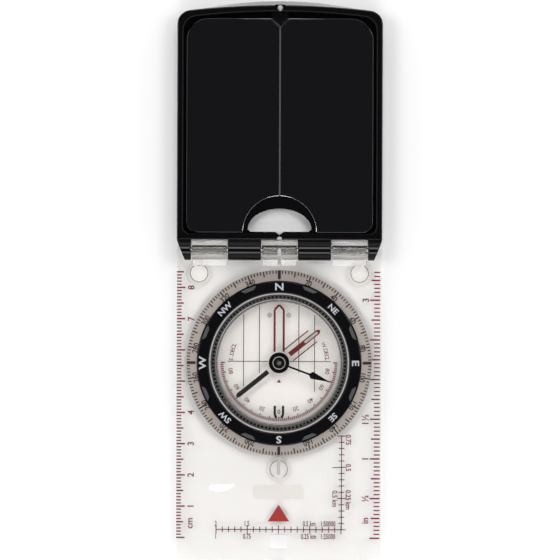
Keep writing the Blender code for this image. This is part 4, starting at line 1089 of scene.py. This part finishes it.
class BuildCapsule(PieceOperator):
    """Clear cup and cover of the capsule with the prints inside"""
    bl_idname = "compass.capsule"
    bl_label = "Capsule"

    def build(self, look):
        low, high = CUP_BOX
        outer = high.x
        inner = outer - 0.75 * MM
        floor = low.z + 0.9 * MM
        cup = rounded([(outer, low.z, 0.2 * MM), (outer, high.z, 0.15 * MM), (inner, high.z, 0.15 * MM),
                       (inner, floor, 0.3 * MM)], 4)
        cup = [(0, low.z)] + cup + [(1.2 * MM, floor), (1.2 * MM, floor + 0.15 * MM),
                                    (0.55 * MM, floor + 0.15 * MM),
                                    (0.55 * MM, low.z + 0.3 * MM), (0, low.z + 0.3 * MM)]
        settle(new_object("clear_cup", move(turned(cup), DIAL)), shared("clear_capsule"), "capsule",
               ["capsule_base"])
        low, high = COVER_BOX
        under = high.z - 1.0 * MM
        spigot = inner - 0.2 * MM
        cover = rounded([(spigot - 0.7 * MM, low.z, 0), (spigot, low.z, 0), (spigot, under, 0),
                         (high.x, under, 0),
                         (high.x, high.z, 0.3 * MM)], 4)
        hole = 0.5 * MM
        cover = [(0, high.z - 0.3 * MM), (hole, high.z - 0.3 * MM), (hole, under),
                 (spigot - 0.7 * MM, under)] + cover + [(0, high.z)]
        settle(new_object("clear_cover", move(turned(cover), DIAL)), shared("clear_capsule"), "capsule",
               ["capsule_cover"])
        dress("needle_pivot", "steel")
        # Painted shade: a grey ring at the capsule's rim that stands in for the dark surroundings seen
        # through the capsule wall
        painted_rim_shade = Print()
        painted_rim_shade.path(circle(19.9 * MM, ROUND, on_dial(0, 0)) + [on_dial(19.9, 0)], 0.5 * MM)
        painted_rim_shade.lay("painted_rim_shade_line", CUP_BOX[1].z, shared("painted_rim_shade"), "capsule")
        self.pointer_pivot()
        self.arrow(floor)
        self.lines(floor)

    def pointer_pivot(self):
        low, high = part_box("clinometer_pivot")
        head = POINTER_BOX[1].z + 0.25 * MM
        foot = POINTER_BOX[0].z - 0.25 * MM
        profile = [(0, low.z), (0.8 * MM, low.z), (0.8 * MM, foot), (0.35 * MM, foot), (0.35 * MM, head)]
        profile += [(0.8 * MM * math.cos(turn), head + 0.1 * MM + 0.25 * MM * math.sin(turn))
                    for turn in (0, 0.4, 0.8, 1.1)]
        profile += [(0.35 * MM, head + 0.35 * MM), (0.35 * MM, high.z), (0, high.z)]
        settle(new_object("pointer_pin", move(turned(profile, FINE), DIAL)), shared("steel"), "capsule",
               ["clinometer_pivot"])

    def arrow(self, floor):
        red = Print()
        half = 1.8 - 0.34
        for side in (-1, 1):
            red.path([on_dial(side * half, 3.5), on_dial(side * half, 16.9), on_dial(0, 18.5)], 0.68 * MM)
        red.shape([on_dial(-0.7, -6.4), on_dial(0.7, -6.4), on_dial(0, -5.3)])
        red.lay("orienting_arrow", floor, shared("red_paint"), "capsule")
        dots = Print()
        for x in (-3.05, 3.05):
            dots.shape(circle(0.84 * MM, FINE, on_dial(x, 15.2)))
        dots.lay("luminous_dots", floor, shared("lume"), "capsule", "lume")

    def lines(self, floor):
        grey_lines = Print()
        ink_lines = Print()
        thin = 0.26 * MM
        for x, low, high in ((-6.3, -3.4, 18.1), (6.3, -3.4, 18.1), (-11.35, -7.6, 15.6),
                             (11.35, -9.3, 15.2)):
            grey_lines.bar(on_dial(x, low), on_dial(x, high), thin)
        for side in (-1, 1):
            grey_lines.bar(on_dial(side * 3.5, 0.4), on_dial(side * 16.5, 0.4), thin)
        grey_lines.lay("meridian_lines", floor, shared("capsule_ink"), "capsule")
        centre = on_dial(0, 0)
        for degree in range(90, 272, 2):
            inner = 17.3 if degree % 10 == 0 else 17.8
            ink_lines.tick(degree, inner * MM, 18.7 * MM, 0.36 * MM, centre)
        for degree in range(100, 261, 20):
            ink_lines.round_text(str(abs(180 - degree)), 1.35 * MM, degree, 15.7 * MM, centre, 1.0,
                                 FINE_WEIGHT)
        for words, middle in (("E.DECL", -77), ("W.DECL", 77)):
            for index, letter in enumerate(words):
                turn = middle + (index - (len(words) - 1) / 2) * 3.6
                if letter == ".":
                    spot = polar(14.9 * MM, math.radians(90 - turn), centre)
                    ink_lines.shape(circle(0.16 * MM, 10, spot))
                else:
                    ink_lines.round_text(letter, 1.25 * MM, turn, 15.4 * MM, centre, 1.0, FINE_WEIGHT)
        ink_lines.lay("declination_scale", floor, shared("fine_ink"), "capsule")
        tail = Print()
        for side in (-1, 1):
            x = side * (1.7 - 0.37)
            tail.path([on_dial(x, -13.8), on_dial(x, -16.7), on_dial(side * 0.78, -17.7)], 0.74 * MM)
        tail.lay("tail_marks", floor, shared("black_paint"), "capsule")


class BuildNeedle(PieceOperator):
    """Magnetic needle with its painted ends and its hub"""
    bl_idname = "compass.needle"
    bl_label = "Needle"

    turn = math.radians(-51.3)

    def build(self, look):
        low, high = BLADE_BOX
        half, tip = 2.5 * MM, 0.75 * MM
        north, south, neck, tail = 17.1 * MM, -17.6 * MM, 13.8 * MM, -4.5 * MM
        outline = [(-tip, tail), (-tip, south + tip), (0, south), (tip, south + tip), (tip, tail),
                   (half, tail),
                   (half, neck), (tip, neck), (0, north), (-tip, neck), (-half, neck), (-half, tail)]
        blade = new_object("clear_blade", slab(outline, low.z, high.z, 0.06 * MM))
        join(blade, slab(circle(3.1 * MM), low.z, high.z, 0.06 * MM))
        cut(blade, slab(circle(2.3 * MM), low.z - OVER, high.z + OVER))
        self.place(blade)
        settle(blade, shared("clear_blade"), "needle", ["needle_blade"])
        self.paint(high.z)
        self.hub(low.z, high.z)
        dress("needle_magnet", "magnet")
        dress("needle_jewel", "jewel")

    def place(self, piece):
        piece.data.transform(Matrix.Translation(DIAL) @ Matrix.Rotation(self.turn, 4, "Z"))

    def laid(self, paint, name, height, finish):
        """Lay a print that was drawn along +Y at the needle's bearing."""
        bmesh.ops.transform(paint.mesh, matrix=Matrix.Translation(DIAL) @ Matrix.Rotation(self.turn, 4, "Z"),
                            verts=paint.mesh.verts)
        paint.lay(name, height, shared(finish), "needle")

    def paint(self, height):
        red = Print()
        wide = 0.775 * MM
        red.shape([(-wide, 4.3 * MM), (wide, 4.3 * MM), (wide, 15.9 * MM), (0, 16.9 * MM),
                   (-wide, 15.9 * MM)])
        for side in (-1, 1):
            x = side * 2.25 * MM
            red.bar((x, 4.0 * MM), (x, 13.7 * MM), 0.35 * MM)
        self.laid(red, "red_north", height, "red_paint")
        glow = Print()
        glow.shape(rounded([(-0.4 * MM, 10.4 * MM, 0.3 * MM), (0.4 * MM, 10.4 * MM, 0.3 * MM),
                            (0.4 * MM, 15.7 * MM, 0.3 * MM), (-0.4 * MM, 15.7 * MM, 0.3 * MM)]))
        self.laid(glow, "luminous_north", height + INK + LIFT, "lume")
        black = Print()
        wide = 0.75 * MM
        black.shape([(-wide, -4.5 * MM), (-wide, -16.8 * MM), (0, -17.55 * MM), (wide, -16.8 * MM),
                     (wide, -4.5 * MM)])
        self.laid(black, "black_south", height, "black_paint")

    def hub(self, blade_low, blade_high):
        low, high = HUB_BOX
        radius = 3.3 * MM
        waist, inside, room = 2.1 * MM, 1.6 * MM, 2.8 * MM
        roof = high.z - 0.5 * MM
        magnet_roof = low.z + 0.8 * MM
        slit_low, slit_high = blade_low - 0.2 * MM, blade_high + 0.2 * MM
        cap = [(0, roof), (inside, roof), (inside, magnet_roof), (room, magnet_roof), (room, low.z),
               (radius, low.z), (radius, slit_low), (waist, slit_low), (waist, slit_high),
               (radius, slit_high)]
        cap += arc(0.25 * MM, 0, 90, 4, (radius - 0.25 * MM, high.z - 0.25 * MM))
        cap += [(2.75 * MM, high.z), (2.6 * MM, high.z - 0.12 * MM), (0, high.z - 0.12 * MM)]
        hub = new_object("hub_cap", move(turned(cap, 64), DIAL))
        settle(hub, shared("hub_plastic"), "needle", ["needle_hub"])


class BuildPointer(PieceOperator):
    """Clinometer pointer over the needle"""
    bl_idname = "compass.pointer"
    bl_label = "Clinometer pointer"

    def build(self, look):
        low, high = POINTER_BOX
        shaft, head, point = 0.3 * MM, 1.2 * MM, 0.25 * MM
        hub = 2.2 * MM
        opening = math.degrees(math.asin(shaft / hub))
        outline = arc(hub, 90 + opening, 450 - opening, FINE)
        outline += [(shaft, 10.3 * MM), (head, 11.2 * MM), (point, 16.0 * MM), (point / 2, 17.7 * MM),
                    (-point / 2, 17.7 * MM), (-point, 16.0 * MM), (-head, 11.2 * MM), (-shaft, 10.3 * MM)]
        piece = new_object("pointer", slab(outline, low.z, high.z, 0.06 * MM))
        cut(piece, slab(circle(0.6 * MM), low.z - OVER, high.z + OVER))
        turn = Matrix.Rotation(math.radians(-110.4), 4, "Z")
        piece.data.transform(Matrix.Translation(DIAL) @ turn)
        settle(piece, shared("hub_plastic"), "clinometer", ["clinometer_pointer"])
        # Painted highlight: a pale ring in the luminous finish, laid where the hub's bevelled edge would
        # catch the light
        rim = Print()
        rim.path(circle(1.95 * MM, 48) + [(1.95 * MM, 0)], 0.2 * MM)
        bmesh.ops.translate(rim.mesh, vec=DIAL, verts=rim.mesh.verts)
        rim.lay("pointer_rim_highlight", high.z, shared("lume"), "clinometer")


# Lid

LID_WALL = 1.9
LID_FLOOR = 2.2
LID_NEAR = 3.4
LID_TIP = 80.1
TIP_LEAN = 2.1
SAGITTA = 2.1
MIRROR_NEAR = 5.7
MIRROR_FAR = 74.3
ARCH = 11.7


def at_hinge(points):
    """Plan points in millimetres from the hinge's axis, put in the frame."""
    return [(x * MM, HINGE.y + y * MM) for x, y in points]


def lid_plan(half, near, tip, bow, corner, near_corner):
    """Plan of the lid from a straight near edge to a shallow arc, in millimetres from the hinge's axis."""
    radius = (half ** 2 + bow ** 2) / (2 * bow)

    def bowed(x):
        return tip - radius + math.sqrt(radius ** 2 - x ** 2)

    reach = half - corner - 2.0
    middle = [(reach * step / 8, bowed(reach * step / 8), 0) for step in range(8, -9, -1)]
    return rounded([(-half, near, near_corner), (half, near, near_corner),
                    (half, bowed(half), corner)] + middle
                   + [(-half, bowed(half), corner)], 8)


def window_plan():
    """Half ellipse over a straight edge with a small notch in its middle."""
    near = MIRROR_NEAR + 0.3
    turns = [math.pi * step / 40 for step in range(41)]
    top = [(10.2 * math.cos(turn), near + 0.8 + 6.6 * math.sin(turn)) for turn in turns]
    return [(-9.4, near), (-1.3, near), (0, near - 1.2), (1.3, near), (9.4, near)] + top


def mirror_plan(inset=0.0):
    """Mirror with rounded corners, the arch around the window and the notch at the tip."""
    half = 29.9 - inset
    near = MIRROR_NEAR + inset
    far = MIRROR_FAR - inset
    notch = 2.9 + inset
    arch = arc(ARCH + inset, 180, 0, 48, (0, near))
    left = rounded([(arch[0][0], near, 0), (-half, near, 3.4), (-half, far, 7.0), (-notch, far, 0)], 8)
    right = rounded([(notch, far, 0), (half, far, 7.0), (half, near, 3.4), (arch[-1][0], near, 0)], 8)
    return (left + [(0, 71.6 - inset)] + right + arch[-2:0:-1])[::-1]


class BuildLid(PieceOperator):
    """Black lid with its hinge knuckles, sighting window and tip notch"""
    bl_idname = "compass.lid"
    bl_label = "Lid"

    def build(self, look):
        low, high = LID_BOX
        half = high.x / MM
        rim = 10.0
        edge = look.lid.edge / MM
        outer_low = lid_plan(half, LID_NEAR, LID_TIP, 2 * SAGITTA, 4.5, 0.1)
        outer_top = lid_plan(half, LID_NEAR, LID_TIP - TIP_LEAN, SAGITTA, 4.5, 0.1)
        hollow = lid_plan(half - LID_WALL, LID_NEAR + LID_WALL, LID_TIP - TIP_LEAN - LID_WALL, SAGITTA,
                          4.5, 2.2)

        def between(share):
            return [tuple(Vector(a).lerp(Vector(b), share)) for a, b in zip(outer_low, outer_top)]

        turns = [math.pi / 2 * step / 3 for step in range(4)]
        layers = [(shrunk(outer_low, edge * (1 - math.sin(turn))), edge * (1 - math.cos(turn)))
                  for turn in turns]
        layers += [(shrunk(between(1 - edge / rim), edge * (1 - math.cos(turn))),
                    rim - edge * (1 - math.sin(turn)))
                   for turn in turns]
        lip = 0.25
        layers += [(shrunk(hollow, -lip * math.cos(turn)), rim - lip * (1 - math.cos(turn)))
                   for turn in turns]
        layers.append((hollow, LID_FLOOR))
        shell = new_object("black_lid", stacked([(at_hinge(plan), height * MM) for plan, height in layers]))
        self.add_fittings(shell)
        self.open_up(shell)
        settle(shell, shared("lid_plastic"), "lid", ["lid_shell"], 28)

    def add_fittings(self, shell):
        near_wall = 4.35
        surround = arc(ARCH - 0.2, 0, 180, 48, (0, MIRROR_NEAR)) + [(0.2 - ARCH, near_wall),
                                                                    (ARCH - 0.2, near_wall)]
        join(shell, slab(at_hinge(surround), (LID_FLOOR - 0.5) * MM, 4.3 * MM))
        bump = [(-2.7, 77.0), (-2.7, MIRROR_FAR), (0, 71.8), (2.7, MIRROR_FAR), (2.7, 77.0)][::-1]
        join(shell, slab(at_hinge(bump), (LID_FLOOR - 0.5) * MM, 8.4 * MM))
        spans = self.spans()
        barrels = [move(along_x(turned(self.barrel(*span), FINE)), HINGE) for span in spans]
        join(shell, merged(barrels))
        web = [(0.0, -4.9), (near_wall, -4.9), (near_wall, 0.5), (0.0, 0.5)]
        web = [(HINGE.y + y * MM, HINGE.z + z * MM) for y, z in web]
        join(shell, merged([across(web, low * MM, high * MM) for low, high in spans]))
        for side in (-1, 1):
            wedge = [(side * 32.7, 3.3), (side * 30.0, -3.4), (side * 33.5, -3.4), (side * 33.5, 3.3)]
            cut(shell, slab(at_hinge(wedge[::side]), -OVER, 12.5 * MM))

    def spans(self):
        reach = KNUCKLE_HALF + 0.25
        edges = [-32.6]
        for x in KNUCKLES:
            edges += [x - reach, x + reach]
        edges.append(32.6)
        return list(zip(edges[::2], edges[1::2]))

    def barrel(self, low, high):
        """Profile of a lid knuckle."""
        radius, edge = 3.2, 0.25
        profile = [(0, low), (radius - edge, low), (radius, low + edge), (radius, high - edge),
                   (radius - edge, high),
                   (0, high)]
        return [(r * MM, x * MM) for r, x in profile]

    def open_up(self, shell):
        end = PIN_BOX[1].x + 0.2 * MM
        bore = along_x(turned([(0, -end), (PIN_BORE * MM, -end), (PIN_BORE * MM, end), (0, end)], FINE))
        cut(shell, move(bore, HINGE))
        cut(shell, slab(at_hinge(window_plan()), -OVER, 10.5 * MM))
        notch = [(-0.95, 76.25), (0.95, 76.25), (2.5, 80.6), (-2.5, 80.6)]
        cut(shell, slab(at_hinge(notch), 8.4 * MM, 10.5 * MM))
        for reach, radius, seat in ((77.2, 1.15, 7.4), (3.55, 1.05, 9.0)):
            cut(shell, slab(at_hinge(circle(radius, FINE, (0, reach))), seat * MM, 10.5 * MM))


class BuildMirror(PieceOperator):
    """Mirror on its foam tape, with the sight line"""
    bl_idname = "compass.mirror"
    bl_label = "Mirror"

    def build(self, look):
        low, high = MIRROR_BOX
        glass = new_object("mirror_plate", slab(at_hinge(mirror_plan()), low.z, high.z, 0.2 * MM))
        settle(glass, shared("mirror_silver"), "lid", ["mirror"])
        dress("mirror_tape", "foam")
        line = Print()
        line.bar((0, DIAL.y + 53.3 * MM), (0, DIAL.y + 107.3 * MM), look.lid.line_width)
        line.lay("sight_line", high.z, shared("line_paint"), "lid")


class BuildSightBeads(PieceOperator):
    """Luminous beads at the tip and at the window"""
    bl_idname = "compass.sight_beads"
    bl_label = "Sight beads"

    def build(self, look):
        for node in ("tip_sight_bead", "window_sight_bead"):
            low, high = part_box(node)
            radius = (high.x - low.x) / 2
            rise = radius / 2
            profile = [(0, low.z), (radius, low.z)]
            profile += [(radius * math.cos(turn), high.z - rise + rise * math.sin(turn))
                        for turn in (0, 0.3, 0.6, 0.9, 1.2)]
            profile.append((0, high.z))
            spot = Vector(((low.x + high.x) / 2, high.y - radius, 0))
            bead = new_object(f"{node}_dome", move(turned(profile, FINE), spot))
            if high.y - low.y < high.x - low.x - 0.1 * MM:
                near = box_outline(-2 * radius, 2 * radius, low.y - 2 * radius, low.y)
                cut(bead, slab(near, low.z - OVER, high.z + OVER))
            settle(bead, shared("lume"), "lid", [node])


class CompassPanel(bpy.types.Panel):
    """The compass's settings and pieces"""
    bl_idname = "VIEW3D_PT_compass"
    bl_label = "Compass"
    bl_space_type = "VIEW_3D"
    bl_region_type = "UI"
    bl_category = "Compass"

    def draw(self, context):
        look = context.scene.compass
        for group in (look.stage, look.plate, look.dial, look.capsule, look.lid):
            column = self.layout.box().column()
            for name in group.__annotations__:
                column.prop(group, name)
        for operator in OPERATORS:
            self.layout.operator(operator.bl_idname)


SETTINGS = (StageSettings, PlateSettings, DialSettings, CapsuleSettings, LidSettings, CompassSettings)
OPERATORS = (BuildStage, BuildPlate, BuildFeet, BuildHingePin, BuildIndexStrips, PrintPlate, BuildDegreeRing,
             BuildGripRing, BuildDialRings, BuildCapsule, BuildNeedle, BuildPointer, BuildLid, BuildMirror,
             BuildSightBeads)


def register():
    for kind in SETTINGS + OPERATORS + (CompassPanel,):
        bpy.utils.register_class(kind)
    bpy.types.Scene.compass = PointerProperty(type=CompassSettings)


def unregister():
    del bpy.types.Scene.compass
    for kind in reversed(SETTINGS + OPERATORS + (CompassPanel,)):
        bpy.utils.unregister_class(kind)


def main():
    register()
    for operator in OPERATORS:
        group, name = operator.bl_idname.split(".")
        getattr(getattr(bpy.ops, group), name)()


if __name__ == "__main__":
    main()
